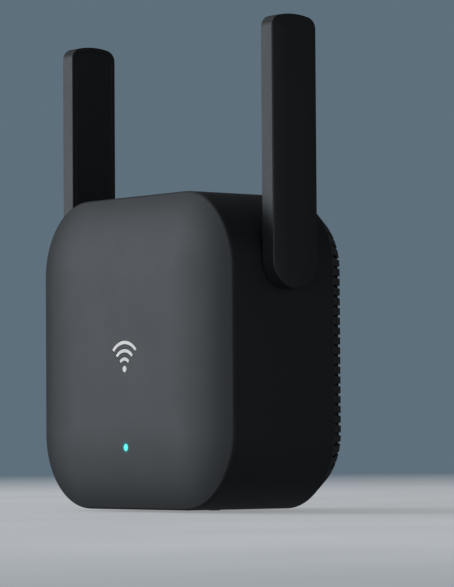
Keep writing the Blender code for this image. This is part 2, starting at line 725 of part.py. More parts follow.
def make_light_pipe(frame):
    """Carries the status light from its LED on the board to the front cover."""
    front = Y_CREASE - crown_height(crown_share(abs(LED_Z)))
    back = Y_RADIO_PARTS - LED_HEIGHT - GAP
    flange_front = Y_CREASE + 0.2
    profile = (
        (PIPE_RADIUS, front),
        (PIPE_RADIUS, flange_front),
        (PIPE_FLANGE, flange_front + 0.4),
        (PIPE_FLANGE, back),
    )
    add_object("led_light_pipe", turned_y(profile), "light_pipe", (0, 0, LED_Z), frame, True)


# ---- Reset button -------------------------------------------------------------------------
def make_reset_button(frame):
    """A cap under the housing that presses a side-facing tactile switch on the radio board."""
    axis = add_empty("reset_button_axis", (0, Y_BUTTON, -BODY_HALF), frame)
    flange_radius = 2.3
    flange_bottom = WALL + GAP
    flange_top = flange_bottom + 0.7
    profile = (
        (BUTTON_RADIUS - 0.25, -BUTTON_PROUD),
        (BUTTON_RADIUS, -BUTTON_PROUD + 0.2),
        (BUTTON_RADIUS, flange_bottom),
        (flange_radius, flange_bottom),
        (flange_radius, flange_top),
    )
    add_object("reset_button", turned_z(profile), "button_plastic", (0, 0, 0), axis, True)
    plunger_radius = 0.95
    plunger = turned_z(((plunger_radius, flange_top + 0.25), (plunger_radius, flange_top + 2.9)), 16)
    add_object("reset_switch_plunger", plunger, "button_plastic", (0, 0, 0), axis)
    body_bottom = flange_top + 1.5
    body_height = 3.8
    body_front = MAIN_BOARD_BACK + GAP
    body_back = Y_BUTTON + 3.0
    centre = (0, (body_front + body_back) / 2, -BODY_HALF + body_bottom + body_height / 2)
    size = (6.0, body_back - body_front, body_height)
    switch = add_block("reset_switch", size, centre, "switch_body", frame)
    hole_radius = plunger_radius + 0.2
    hole = turned_z(((hole_radius, body_bottom - 1), (hole_radius, body_bottom + 2.2)), 16)
    place = (0, Y_BUTTON, -BODY_HALF)
    combine(switch, add_cutter("cut_switch_hole", hole, place, frame), "DIFFERENCE")


# ---- Antennas -----------------------------------------------------------------------------
def arc_points(centre, radius, start, end, steps):
    """Points (y, z) along an arc, both ends included."""
    angles = [start + (end - start) * k / steps for k in range(steps + 1)]
    return [(centre[0] + radius * math.cos(a), centre[1] + radius * math.sin(a)) for a in angles]


def paddle_outline(inset):
    """The paddle's outline (y, z) about its pivot: half-round foot, softly crowned tip."""
    half = ANTENNA_WIDTH / 2 - inset
    top = ANTENNA_LENGTH - ANTENNA_WIDTH / 2 - inset
    crown = TIP_CROWN_RADIUS - inset
    corner = TIP_CORNER_RADIUS - inset
    crown_z = top - crown
    corner_y = half - corner
    corner_z = crown_z + math.sqrt((crown - corner) ** 2 - corner_y**2)
    meet = math.atan2(corner_z - crown_z, corner_y)
    foot = arc_points((0, 0), half, math.pi, math.tau, 14)
    right = arc_points((corner_y, corner_z), corner, 0, meet, 5)
    tip = arc_points((0, crown_z), crown, meet, math.pi - meet, 6)[1:-1]
    left = arc_points((-corner_y, corner_z), corner, math.pi - meet, math.pi, 5)
    return foot + right + tip + left


def make_antenna(side, word, frame):
    """One folding paddle, in the frame of its pivot: distances run outwards from the inner face."""
    inner_face = side * (BODY_HALF + ANTENNA_GAP)
    pivot = add_empty(f"antenna_pivot_{word}", (inner_face, Y_PIVOT, PIVOT_RISE), frame)

    def ring(inset, distance):
        return [(side * distance, y, z) for y, z in paddle_outline(inset)]

    shell = loft(
        [
            ring(TRAY_WALL, ANTENNA_THICKNESS - TRAY_FACE),
            ring(TRAY_WALL, 0),
            ring(TRAY_EDGE, 0),
            ring(0, TRAY_EDGE),
            ring(0, ANTENNA_THICKNESS - TRAY_EDGE),
            ring(TRAY_EDGE, ANTENNA_THICKNESS),
        ]
    )
    add_object(f"antenna_shell_{word}", shell, "antenna_plastic", parent=pivot, smooth=True)
    lid = loft([ring(TRAY_WALL + FINE_GAP, 0), ring(TRAY_WALL + FINE_GAP, LID_THICKNESS)])
    cover = add_object(f"antenna_inner_cover_{word}", lid, "antenna_plastic", parent=pivot, smooth=True)
    make_pivot(side, word, cover, pivot)
    inside = LID_THICKNESS + 1.0
    element = cuboid((0.8, 6.0, 40.0))
    element_place = (side * inside, 0, 33.0)
    add_object(f"antenna_element_{word}", element, "circuit_board", element_place, pivot)
    points = (
        (side * (0.4 - PIVOT_LENGTH), 0, 0),
        (side * -3.0, 0, 0),
        (side * -0.6, 0, 0.3),
        (side * 1.2, 0, 1.7),
        (side * inside, 0, 4.2),
        (side * inside, 0, 8.0),
        (side * inside, 0, 12.6),
    )
    add_tube(f"antenna_lead_{word}", points, LEAD_RADIUS, "coax_jacket", pivot)


def make_pivot(side, word, cover, pivot):
    """The hollow stem on the inner cover, with the washer and clip that hold it in the housing."""
    washer_start = PAD_DEPTH + ANTENNA_GAP + 0.1
    groove_start = washer_start + WASHER_THICKNESS + 0.15
    groove_end = groove_start + CLIP_THICKNESS + 0.2
    groove = PIVOT_RADIUS - GROOVE_DEPTH
    profile = (
        (PIVOT_RADIUS, LID_THICKNESS / 2),
        (PIVOT_RADIUS, -groove_start),
        (groove, -groove_start),
        (groove, -groove_end),
        (PIVOT_RADIUS, -groove_end),
        (PIVOT_RADIUS, -PIVOT_LENGTH),
    )
    stem = turned_x([(r, side * x) for r, x in profile])
    combine(cover, add_cutter(f"add_pivot_stem_{word}", stem, (0, 0, 0), pivot), "UNION")
    bore = turned_x(((PIVOT_BORE, side * 2), (PIVOT_BORE, side * (-PIVOT_LENGTH - 1))), 20)
    combine(cover, add_cutter(f"cut_pivot_bore_{word}", bore, (0, 0, 0), pivot), "DIFFERENCE")
    washer_end = washer_start + WASHER_THICKNESS
    washer = washer_x(PIVOT_RADIUS + 0.15, WASHER_RADIUS, -side * washer_start, -side * washer_end)
    add_object(f"friction_washer_{word}", washer, "spring_steel", parent=pivot)
    clip_start = groove_start + 0.1
    clip_end = clip_start + CLIP_THICKNESS
    ring = washer_x(groove + 0.1, CLIP_RADIUS, -side * clip_start, -side * clip_end)
    clip = add_object(f"pivot_clip_{word}", ring, "spring_steel", parent=pivot)
    mouth = cuboid((4, 4.6, 8), (-side * clip_start, 0, -5.5))
    combine(clip, add_cutter(f"cut_clip_mouth_{word}", mouth, (0, 0, 0), pivot), "DIFFERENCE")


def main():
    clear_scene()
    frame = add_empty("body_frame", (0, 0, -PLUG_RISE))
    make_front_cover(frame)
    make_emblem(frame)
    make_main_housing(frame)
    make_rear_cover(frame)
    make_screws(frame)
    make_plug(frame)
    make_main_board(frame)
    make_power_board(frame)
    make_light_pipe(frame)
    make_reset_button(frame)
    for side, word in SIDES:
        make_antenna(side, word, frame)


main()
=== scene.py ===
import json
import math

import bmesh
import bpy
from mathutils import Matrix, Vector


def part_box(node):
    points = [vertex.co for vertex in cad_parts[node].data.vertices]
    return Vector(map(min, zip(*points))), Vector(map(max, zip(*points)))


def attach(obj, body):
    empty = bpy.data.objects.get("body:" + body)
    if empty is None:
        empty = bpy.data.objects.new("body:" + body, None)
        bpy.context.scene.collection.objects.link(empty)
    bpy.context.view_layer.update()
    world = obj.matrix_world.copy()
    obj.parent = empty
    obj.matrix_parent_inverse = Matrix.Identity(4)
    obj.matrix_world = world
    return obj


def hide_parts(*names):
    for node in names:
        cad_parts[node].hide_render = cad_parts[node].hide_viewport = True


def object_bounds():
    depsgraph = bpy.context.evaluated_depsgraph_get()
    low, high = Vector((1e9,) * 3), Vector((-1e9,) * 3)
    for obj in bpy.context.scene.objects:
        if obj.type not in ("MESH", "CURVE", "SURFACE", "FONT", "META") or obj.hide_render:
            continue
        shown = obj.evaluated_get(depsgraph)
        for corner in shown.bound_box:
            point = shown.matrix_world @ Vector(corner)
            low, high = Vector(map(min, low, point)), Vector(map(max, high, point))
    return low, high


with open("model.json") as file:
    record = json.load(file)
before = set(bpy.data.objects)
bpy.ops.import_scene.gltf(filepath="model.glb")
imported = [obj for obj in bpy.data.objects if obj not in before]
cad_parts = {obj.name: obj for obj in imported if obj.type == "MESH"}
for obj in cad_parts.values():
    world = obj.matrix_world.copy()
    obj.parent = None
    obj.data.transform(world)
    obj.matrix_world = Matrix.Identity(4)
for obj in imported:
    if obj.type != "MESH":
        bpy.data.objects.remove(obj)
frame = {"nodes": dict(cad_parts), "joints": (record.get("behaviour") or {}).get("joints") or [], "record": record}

# A plug-in wifi range extender with two folding paddle antennas. Fine shells stand for the packed
# outer solids; their places come from those solids' boxes and joints. Lengths are millimetres in
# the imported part's frame, turned into metres when a mesh is made.

MM = 0.001
SIDES = ((-1, "left"), (1, "right"))
cad_low, cad_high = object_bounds()


def box_mm(node):
    """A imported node's lowest and highest corner."""
    low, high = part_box(node)
    return low / MM, high / MM


# ---- Places read from the frame -----------------------------------------------------------
housing_low, housing_high = box_mm("main_housing")
cover_low, cover_high = box_mm("front_cover")
rear_low, rear_high = box_mm("rear_cover")
dot_low, dot_high = box_mm("emblem_dot")
pipe_low, pipe_high = box_mm("led_light_pipe")
button_low, button_high = box_mm("reset_button")
insert_low, insert_high = box_mm("plug_insert")
turning = [joint for joint in frame["joints"] if joint["type"] == "hinge"]
hinges = {joint["name"]: Vector(joint["pos_m"]) / MM for joint in turning}

CENTRE_Z = (housing_low.z + housing_high.z) / 2
BODY_HALF = (housing_high.x - housing_low.x) / 2
COVER_INSET = BODY_HALF - (cover_high.x - cover_low.x) / 2
Y_BACK = rear_high.y
Y_SIDE_END = housing_high.y
Y_COVER_BACK = cover_high.y
PIPE_Z = (pipe_low.z + pipe_high.z) / 2
BUTTON_Y = (button_low.y + button_high.y) / 2
PLUG_Z = (insert_low.z + insert_high.z) / 2

# ---- Sizes of the fine shapes -------------------------------------------------------------
CORNER_RADIUS = 18.3
LEAST_RADIUS = 0.4
WALL = 1.8
CROWN = 3.15  # how far the cover's middle stands out from its edge
CROWN_EDGE = 20.0  # width of the curved margin round the cover's flat middle
CROWN_STEPS = 30
EDGE_DROP = 0.3  # the part of the crown's height that falls away close to the rim
EDGE_START = 0.6  # where that begins, as a share of the way out across the margin
EDGE_POWER = 2.6
INNER_CROWN_INSET = 0.8  # from the skirt to the curved margin of the cover's inner face
INNER_CROWN_STEPS = 6
COVER_ROUND = 0.6
PLATE_INSET = 0.4  # the cover behind its rim, which fills the housing's rebate
SEAM = 0.05  # between the cover's rim and the housing's front edge
COVER_THICKNESS = 1.7
SKIRT_INSET = 2.2
SKIRT_WALL = 1.2
Y_CREASE = cover_low.y + CROWN
Y_RIM_BACK = Y_CREASE + 0.85
Y_SHOULDER = Y_CREASE + 1.65
Y_FRONT_WALL = Y_CREASE + 3.3
FRONT_WALL = 1.6
LIP_WIDTH = 0.37  # the housing's thin front edge, which the cover's rim covers
LIP_ROUND = 0.06
FINE_GAP = 0.12
GAP = 0.3
PLATE_GAP = 0.15  # between the cover's plate and the housing's shoulder
BACK_ROUND = 0.07
SHUT_ROUND = 0.06
PAST = 1.0  # how far a cutter runs on past the face that it opens
SMOOTH_ANGLE = math.radians(32)  # a sharper bend than this stays a crisp edge

TAPER_INSET = 3.9
TAPER_DEPTH = 5.5
TAPER_STEPS = 6
Y_TAPER = Y_BACK - TAPER_DEPTH
Y_SHUT_LINE = Y_SIDE_END + 0.06
REAR_FLOOR = 1.8
REAR_WALL = 2.2
REAR_ROUND = 0.35
TONGUE_WALL = 1.25
TONGUE_DEPTH = 3.0
SLOT_WIDTH = 0.66
SLOT_PITCH = 2.34
SLOTS_PER_SIDE = 18
SLOTS_PER_CORNER = 8
SLOT_START = 0.12  # share of the taper's depth that stays whole in front of the slots
SLOT_INWARDS = 3.0
SLOT_OUTWARDS = 4.0
NOTCH_INWARDS = 0.85
NOTCH_DEPTH = 1.3

EMBLEM_RADII = (2.4, 4.4, 6.4)
EMBLEM_STROKE = 0.95
EMBLEM_SPREAD = math.radians(46)
EMBLEM_DOT = 0.85
EMBLEM_EDGE = 0.07

PIPE_RADIUS = 0.88
PIPE_HOLE = 0.91
PIPE_MOUTH = 0.05  # from the pipe's tip back to where its hole starts to widen
PIPE_FLANGE = 1.1
# The painted glow that the cover's plastic gives out round the light pipe:
GLOW_START = 0.95  # as a share of the hole's radius
GLOW_REACH = 1.9  # from the pipe's axis to where the glow has faded out
GLOW_POWER = 2.2
GLOW_TINT = (0.0, 0.10, 0.12)
BUTTON_RADIUS = 1.45
BUTTON_ROUND = 0.14
BUTTON_DISH = 0.14
BUTTON_FLANGE_DEPTH = 0.7
BUTTON_HOLE = 1.65
BUTTON_HOLE_DEPTH = 3
BUTTON_CHAMFER = 0.15

PIVOT_RADIUS = 4.0
PIVOT_HOLE = 4.15
PIVOT_HOLE_DEPTH = 8
PIVOT_CHAMFER = 0.25
PIVOT_BORE = 2.4
PIVOT_PAD = 7.0  # the thickened ring of housing wall round each pivot
PIVOT_PAD_INNER = 4.15
PIVOT_PAD_OUTER = 1.2
POST_RADIUS = 2.2  # the posts that carry the main board
POST_ROOT = 0.5  # how far a post reaches into the front wall
POST_PILOT = 0.8
POST_PILOT_DEPTH = 7
BOSS_RADIUS = 3.0  # the rear cover's bosses, for the housing screws
BOSS_PILOT = 1.0
BOSS_PILOT_DEPTH = 9
SCREW_HOLE = 1.2
PIPE_PASSAGE = 1.3  # the light pipe's way through the housing's front wall

PLUG_NECK = (12.0, 7.5, 2.7)  # half width, half height and corner radius
PLUG_FLANGE = (14.0, 9.5, 3.0)
PLUG_ROUND = 0.4
PLUG_CHAMFER = 0.2  # round the rear cover's opening
FACE_GROOVE = (1.3, 1.7)  # the fine groove's two edges, inwards from the plug's outline
FACE_GROOVE_DEPTH = 0.12
BLADE_EDGE = 0.14  # how far a blade's long edges are rounded
BLADE_CLEARANCE = 0.1
BLADE_SLOT_EDGE = 0.15  # rounding and chamfer of the slot round a blade

TIP_CROWN_RADIUS = 20.0  # shallow arc across the tip
TIP_CORNER_RADIUS = 2.8
TRAY_WALL = 1.1
TRAY_FACE = 1.0
LID_THICKNESS = 0.9
LID_GAP = 0.04
CLIP_GROOVE_DEPTH = 0.5
CLIP_GROOVE_START = 0.8
CLIP_GROOVE_WIDTH = 1.0
STEM_CHAMFER = 0.3
MOUTH_EDGE = (0.05, 0.08)  # the broken edges where the lid meets the tray
OUTER_ROUND = 0.5
FACE_CROWN = 0.3  # how far the broad outer face falls away towards its edges
FACE_MARGIN = 4.6  # width of that curved margin
FACE_STEPS = 6
INNER_ROUND = 0.28

ARC_STEPS = 24
SIDE_STEPS = 14
ROUND_STEPS = 64
HOLE_STEPS = 32  # round small holes and posts
BOSS_STEPS = 40
PIN_STEPS = 48  # round the light pipe and the button
FOOT_STEPS = 48
TIP_STEPS = 18
TIP_CORNER_STEPS = 14
PADDLE_SIDE_STEPS = 24


# ---- Mesh helpers -------------------------------------------------------------------------
def rounded_square(half, radius, half_z=None, arc_steps=ARC_STEPS, side_steps=SIDE_STEPS):
    """Points (x, z) round a rectangle with arc corners, anticlockwise, with some on its sides."""
    half_z = half if half_z is None else half_z
    signs = ((1, 1), (-1, 1), (-1, -1), (1, -1))
    centres = [(sx * (half - radius), sz * (half_z - radius)) for sx, sz in signs]
    points = []
    for corner, centre in enumerate(centres):
        start = math.radians(90) * corner
        end = start + math.radians(90)
        arc = arc_points(centre, radius, start, end, arc_steps)
        after = centres[(corner + 1) % 4]
        side_end = (after[0] + radius * math.cos(end), after[1] + radius * math.sin(end))
        points += arc
        for step in range(1, side_steps):
            share = step / side_steps
            points.append(tuple(a + (b - a) * share for a, b in zip(arc[-1], side_end)))
    return points


def arc_points(centre, radius, start, end, steps):
    """Evenly spaced points of an arc, with both of its ends."""
    angles = [start + (end - start) * k / steps for k in range(steps + 1)]
    return [(centre[0] + radius * math.cos(a), centre[1] + radius * math.sin(a)) for a in angles]


def rounded_corner(start, corner, end, steps=5):
    """Points of a curve from start to end that rounds off the corner between them."""
    points = []
    for k in range(steps + 1):
        t = k / steps
        weights = ((1 - t) ** 2, 2 * t * (1 - t), t * t)
        points.append(tuple(sum(w * v for w, v in zip(weights, vs)) for vs in zip(start, corner, end)))
    return points


def section(inset):
    """The housing's outline, moved inwards by an even amount."""
    return rounded_square(BODY_HALF - inset, max(CORNER_RADIUS - inset, LEAST_RADIUS))


def body_rings(profile):
    """Rings of the housing's section, one for each (inset, y) of the profile."""
    return [[(x, y, z + CENTRE_Z) for x, z in section(inset)] for inset, y in profile]


def loft(rings, into=None):
    """Skins a row of rings and closes both ends with a flat face."""
    mesh_data = into or bmesh.new()
    rows = [[mesh_data.verts.new(point) for point in ring] for ring in rings]
    count = len(rows[0])
    for first, second in zip(rows, rows[1:]):
        for i in range(count):
            j = (i + 1) % count
            mesh_data.faces.new((first[i], first[j], second[j], second[i]))
    mesh_data.faces.new(rows[0])
    mesh_data.faces.new(rows[-1])
    return mesh_data


def turned(profile, place, axis, steps=ROUND_STEPS, into=None):
    """A closed solid of (radius, distance along the axis) pairs, turned round X, Y or Z."""
    rings = []
    for radius, along in profile:
        ring = []
        for k in range(steps):
            angle = math.tau * k / steps
            u, v = radius * math.cos(angle), radius * math.sin(angle)
            point = {"X": (along, u, v), "Y": (u, along, v), "Z": (u, v, along)}[axis]
            ring.append(tuple(a + b for a, b in zip(point, place)))
        rings.append(ring)
    return loft(rings, into)


def new_mesh(name, mesh_data):
    """Turns a shape in millimetres into an object in metres, with its faces turned outwards."""
    bmesh.ops.scale(mesh_data, vec=(MM, MM, MM), verts=mesh_data.verts)
    bmesh.ops.recalc_face_normals(mesh_data, faces=mesh_data.faces)
    mesh = bpy.data.meshes.new(name)
    mesh_data.to_mesh(mesh)
    mesh_data.free()
    made = bpy.data.objects.new(name, mesh)
    bpy.context.scene.collection.objects.link(made)
    return made


def combine(target, mesh_data, operation="DIFFERENCE"):
    """Joins a closed shape to an object, or takes it away, for good."""
    other = new_mesh("other", mesh_data)
    modifier = target.modifiers.new("combine", "BOOLEAN")
    modifier.operation = operation
    modifier.solver = "EXACT"
    modifier.object = other
    bpy.context.view_layer.update()
    graph = bpy.context.evaluated_depsgraph_get()
    before = target.data
    target.data = bpy.data.meshes.new_from_object(target.evaluated_get(graph))
    target.data.name = target.name
    target.modifiers.clear()
    bpy.data.meshes.remove(before)
    bpy.data.objects.remove(other, do_unlink=True)


def finish_piece(piece, body, slot, *nodes):
    """Smooths a finished piece, gives it its slot's finish and puts it on its body."""
    mesh = piece.data
    mesh.shade_smooth()
    mesh.set_sharp_from_angle(angle=SMOOTH_ANGLE)
    mesh.materials.clear()
    mesh.materials.append(finish_of(slot))
    weighted = piece.modifiers.new("weighted_normals", "WEIGHTED_NORMAL")
    weighted.keep_sharp = True
    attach(piece, body)
    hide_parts(*nodes)


# ---- Materials ----------------------------------------------------------------------------
class Finish:
    """A Principled material that is being wired; its lengths are millimetres."""

    def __init__(self, name):
        self.material = bpy.data.materials.new(name)
        self.material.use_nodes = True
        self.tree = self.material.node_tree
        self.shader = self.tree.nodes["Principled BSDF"]
        self.place = self.tree.nodes.new("ShaderNodeTexCoord").outputs["Object"]

    def node(self, kind, **inputs):
        """A new node with these inputs linked or set."""
        made = self.tree.nodes.new(kind)
        for name, value in inputs.items():
            self.give(made.inputs[name.replace("_", " ")], value)
        return made

    def give(self, socket, value):
        """Links another node's output to this socket, or sets the socket to a plain value."""
        if isinstance(value, bpy.types.NodeSocket):
            self.tree.links.new(value, socket)
        else:
            socket.default_value = value

    def stretched(self, stretch):
        """The object's own coordinates, squeezed along an axis where that number is below 1."""
        made = self.node("ShaderNodeMapping", Vector=self.place)
        made.inputs["Scale"].default_value = stretch
        return made.outputs["Vector"]

    def noise(self, size, detail=2.0, roughness=0.5, vector=None):
        """Noise whose patches are about this size."""
        made = self.node("ShaderNodeTexNoise", Vector=vector or self.place)
        made.inputs["Scale"].default_value = 1 / (size * MM)
        made.inputs["Detail"].default_value = detail
        made.inputs["Roughness"].default_value = roughness
        return made.outputs["Fac"]

    def ramp(self, value, low, high, start=0.3, end=0.7):
        """Goes evenly from low to high while the value goes from start to end."""
        made = self.node("ShaderNodeMapRange", Value=value)
        made.inputs["From Min"].default_value = start
        made.inputs["From Max"].default_value = end
        made.inputs["To Min"].default_value = low
        made.inputs["To Max"].default_value = high
        return made.outputs["Result"]

    def mix(self, factor, first, second):
        """A blend of two colours, each a node's output or three numbers."""
        made = self.node("ShaderNodeMix")
        made.data_type = "RGBA"
        self.give(made.inputs["Factor"], factor)
        for name, value in (("A", first), ("B", second)):
            made_of_numbers = isinstance(value, tuple)
            self.give(made.inputs[name], (*value, 1) if made_of_numbers else value)
        return made.outputs["Result"]

    def maths(self, operation, first, second):
        """One sum of two values, such as ADD or MULTIPLY."""
        made = self.node("ShaderNodeMath")
        made.operation = operation
        self.give(made.inputs[0], first)
        self.give(made.inputs[1], second)
        return made.outputs["Value"]

    def from_pipe(self):
        """The distance from the light pipe's axis, in metres."""
        made = self.node("ShaderNodeVectorMath")
        made.operation = "DISTANCE"
        self.give(made.inputs[0], self.stretched((1, 0, 1)))
        made.inputs[1].default_value = (0, 0, PIPE_Z * MM)
        return made.outputs["Value"]

    def edges(self, width):
        """1 along the object's sharp edges, falling to 0 about this far from them."""
        bevel = self.node("ShaderNodeBevel")
        bevel.samples = 6
        bevel.inputs["Radius"].default_value = width * MM
        geometry = self.node("ShaderNodeNewGeometry")
        dot = self.node("ShaderNodeVectorMath")
        dot.operation = "DOT_PRODUCT"
        self.give(dot.inputs[0], bevel.outputs["Normal"])
        self.give(dot.inputs[1], geometry.outputs["Normal"])
        return self.ramp(dot.outputs["Value"], 1, 0, 0.75, 0.98)

    def bump(self, height, strength, depth, under=None):
        """Gives the shader a relief this deep, on top of the one under it."""
        made = self.node("ShaderNodeBump", Height=height)
        made.inputs["Strength"].default_value = strength
        made.inputs["Distance"].default_value = depth * MM
        if under:
            self.give(made.inputs["Normal"], under)
        self.give(self.shader.inputs["Normal"], made.outputs["Normal"])
        return made.outputs["Normal"]


def scaled(colour, factor):
    """The colour made lighter or darker, and kept below pure white."""
    return tuple(min(1.0, c * factor) for c in colour)


def moulded_plastic(name, colour, roughness, grain=0.22, relief=0.3, wear=0.35, specular=0.5):
    """Spark-eroded moulding grain, faint flow clouds, uneven gloss and polished, paler edges."""
    finish = Finish(name)
    clouds = finish.ramp(finish.noise(16, 3.0), 0, 1)
    speckle = finish.ramp(finish.noise(0.7, 3.0, 0.6), 0, 1)
    tint = finish.mix(clouds, scaled(colour, 0.94), scaled(colour, 1.06))
    tint = finish.mix(finish.maths("MULTIPLY", speckle, 0.4), tint, scaled(colour, 1.4))
    rubbed = finish.ramp(finish.noise(1.6, 4.0, 0.65), 0.15, 1)
    worn = finish.maths("MULTIPLY", finish.edges(0.16), rubbed)
    worn = finish.maths("MULTIPLY", worn, wear)
    pale = tuple(0.6 * c + 0.03 for c in scaled(colour, 2.0))
    finish.give(finish.shader.inputs["Base Color"], finish.mix(worn, tint, pale))
    handled = finish.ramp(finish.noise(9, 5.0, 0.6), roughness - 0.012, roughness + 0.012)
    pitted = finish.ramp(finish.noise(0.55, 3.0, 0.7), -0.014, 0.014)
    polished = finish.maths("MULTIPLY", worn, -0.25)
    gloss = finish.maths("ADD", finish.maths("ADD", handled, pitted), polished)
    finish.give(finish.shader.inputs["Roughness"], gloss)
    finish.shader.inputs["Specular IOR Level"].default_value = specular
    under = finish.bump(finish.noise(grain * 5, 2.0), relief * 0.3, 0.07)
    finish.bump(finish.noise(grain, 3.0, 0.65), relief, 0.07, under)
    return finish


def bare_metal(name, colour, roughness, brush=(1, 1, 1), grain=0.12, relief=0.25, scratches=0.12):
    """Metal with drawn or brushed grain, hairline scratches, dull patches and bright edges."""
    finish = Finish(name)
    finish.shader.inputs["Metallic"].default_value = 1.0
    drawn = finish.noise(grain, 3.0, 0.6, finish.stretched(brush))
    patches = finish.ramp(finish.noise(4, 3.0), 0, 1)
    tint = finish.mix(patches, scaled(colour, 0.95), colour)
    tint = finish.mix(finish.ramp(drawn, 0, 0.3), tint, scaled(colour, 0.88))
    tint = finish.mix(finish.maths("MULTIPLY", finish.edges(0.12), 0.5), tint, scaled(colour, 1.15))
    finish.give(finish.shader.inputs["Base Color"], tint)
    hairlines = finish.noise(0.25, 2.0, 0.7, finish.stretched((1, 0.06, 0.3)))
    lines = finish.ramp(hairlines, 0, scratches, 0.62, 0.7)
    uneven = finish.ramp(finish.noise(2.4, 3.0), roughness - 0.02, roughness + 0.02)
    finish.give(finish.shader.inputs["Roughness"], finish.maths("ADD", uneven, lines))
    finish.bump(drawn, relief, 0.01)
    return finish


def glossy_coat(name, colour, roughness, pattern=2.0, contrast=0.12, bump=0.1):
    """Smooth lacquer, film or sleeve with slight colour drift and ripples."""
    finish = Finish(name)
    drift = finish.ramp(finish.noise(pattern, 3.0), 0, 1)
    low, high = scaled(colour, 1 - contrast), scaled(colour, 1 + contrast)
    tint = finish.mix(drift, low, high)
    tint = finish.mix(finish.maths("MULTIPLY", finish.edges(0.15), 0.3), tint, scaled(colour, 1.5))
    finish.give(finish.shader.inputs["Base Color"], tint)
    dust = finish.ramp(finish.noise(0.8, 5.0, 0.7), roughness - 0.05, roughness + 0.12)
    finish.give(finish.shader.inputs["Roughness"], dust)
    finish.bump(finish.noise(pattern * 0.6, 2.0), bump, 0.03)
    return finish


def solder_mask(name, colour, roughness):
    """Circuit board lacquer with paler copper tracks and pads showing through it."""
    finish = Finish(name)
    tracks = finish.node("ShaderNodeTexBrick", Vector=finish.stretched((1, 1, 1)))
    tracks.inputs["Scale"].default_value = 1 / (9 * MM)
    tracks.inputs["Mortar Size"].default_value = 0.03
    tracks.inputs["Mortar Smooth"].default_value = 0.1
    weave = finish.noise(0.4, 2.0)
    tint = finish.mix(weave, scaled(colour, 0.85), scaled(colour, 1.15))
    tint = finish.mix(tracks.outputs["Fac"], tint, scaled(colour, 1.7))
    finish.give(finish.shader.inputs["Base Color"], tint)
    gloss = finish.ramp(weave, roughness - 0.04, roughness + 0.08)
    finish.give(finish.shader.inputs["Roughness"], gloss)
    finish.bump(tracks.outputs["Fac"], 0.4, 0.03)
    return finish


def lit_pipe(name, colour, strength):
    """Clear light pipe, lit from behind: whitest in its core and deeper cyan at its rim."""
    finish = Finish(name)
    core = finish.ramp(finish.from_pipe(), 1, 0, 0.2 * MM, 0.85 * MM)
    tint = finish.mix(core, scaled(colour, 0.9), tuple(c + 0.01 for c in colour))
    finish.shader.inputs["Base Color"].default_value = (*scaled(colour, 0.4), 1)
    finish.give(finish.shader.inputs["Roughness"], finish.ramp(finish.noise(0.3), 0.22, 0.34))
    finish.give(finish.shader.inputs["Emission Color"], tint)
    finish.shader.inputs["Emission Strength"].default_value = strength
    finish.shader.inputs["Specular IOR Level"].default_value = 0.25
    return finish


def cover_with_glow(name, colour, roughness):
    """The cover's plastic, with a painted glow on it round the light pipe, fading out from the pipe's hole."""
    finish = moulded_plastic(name, colour, roughness, wear=0.3, relief=0.34)
    near = finish.ramp(finish.from_pipe(), 1, 0, PIPE_HOLE * GLOW_START * MM, GLOW_REACH * MM)
    # painted glow: the cover's plastic gives out cyan light, strongest at the pipe's hole
    painted_glow_falloff = finish.maths("POWER", near, GLOW_POWER)
    glow = finish.mix(painted_glow_falloff, (0, 0, 0), GLOW_TINT)
    finish.give(finish.shader.inputs["Emission Color"], glow)
    finish.shader.inputs["Emission Strength"].default_value = 1.0
    return finish


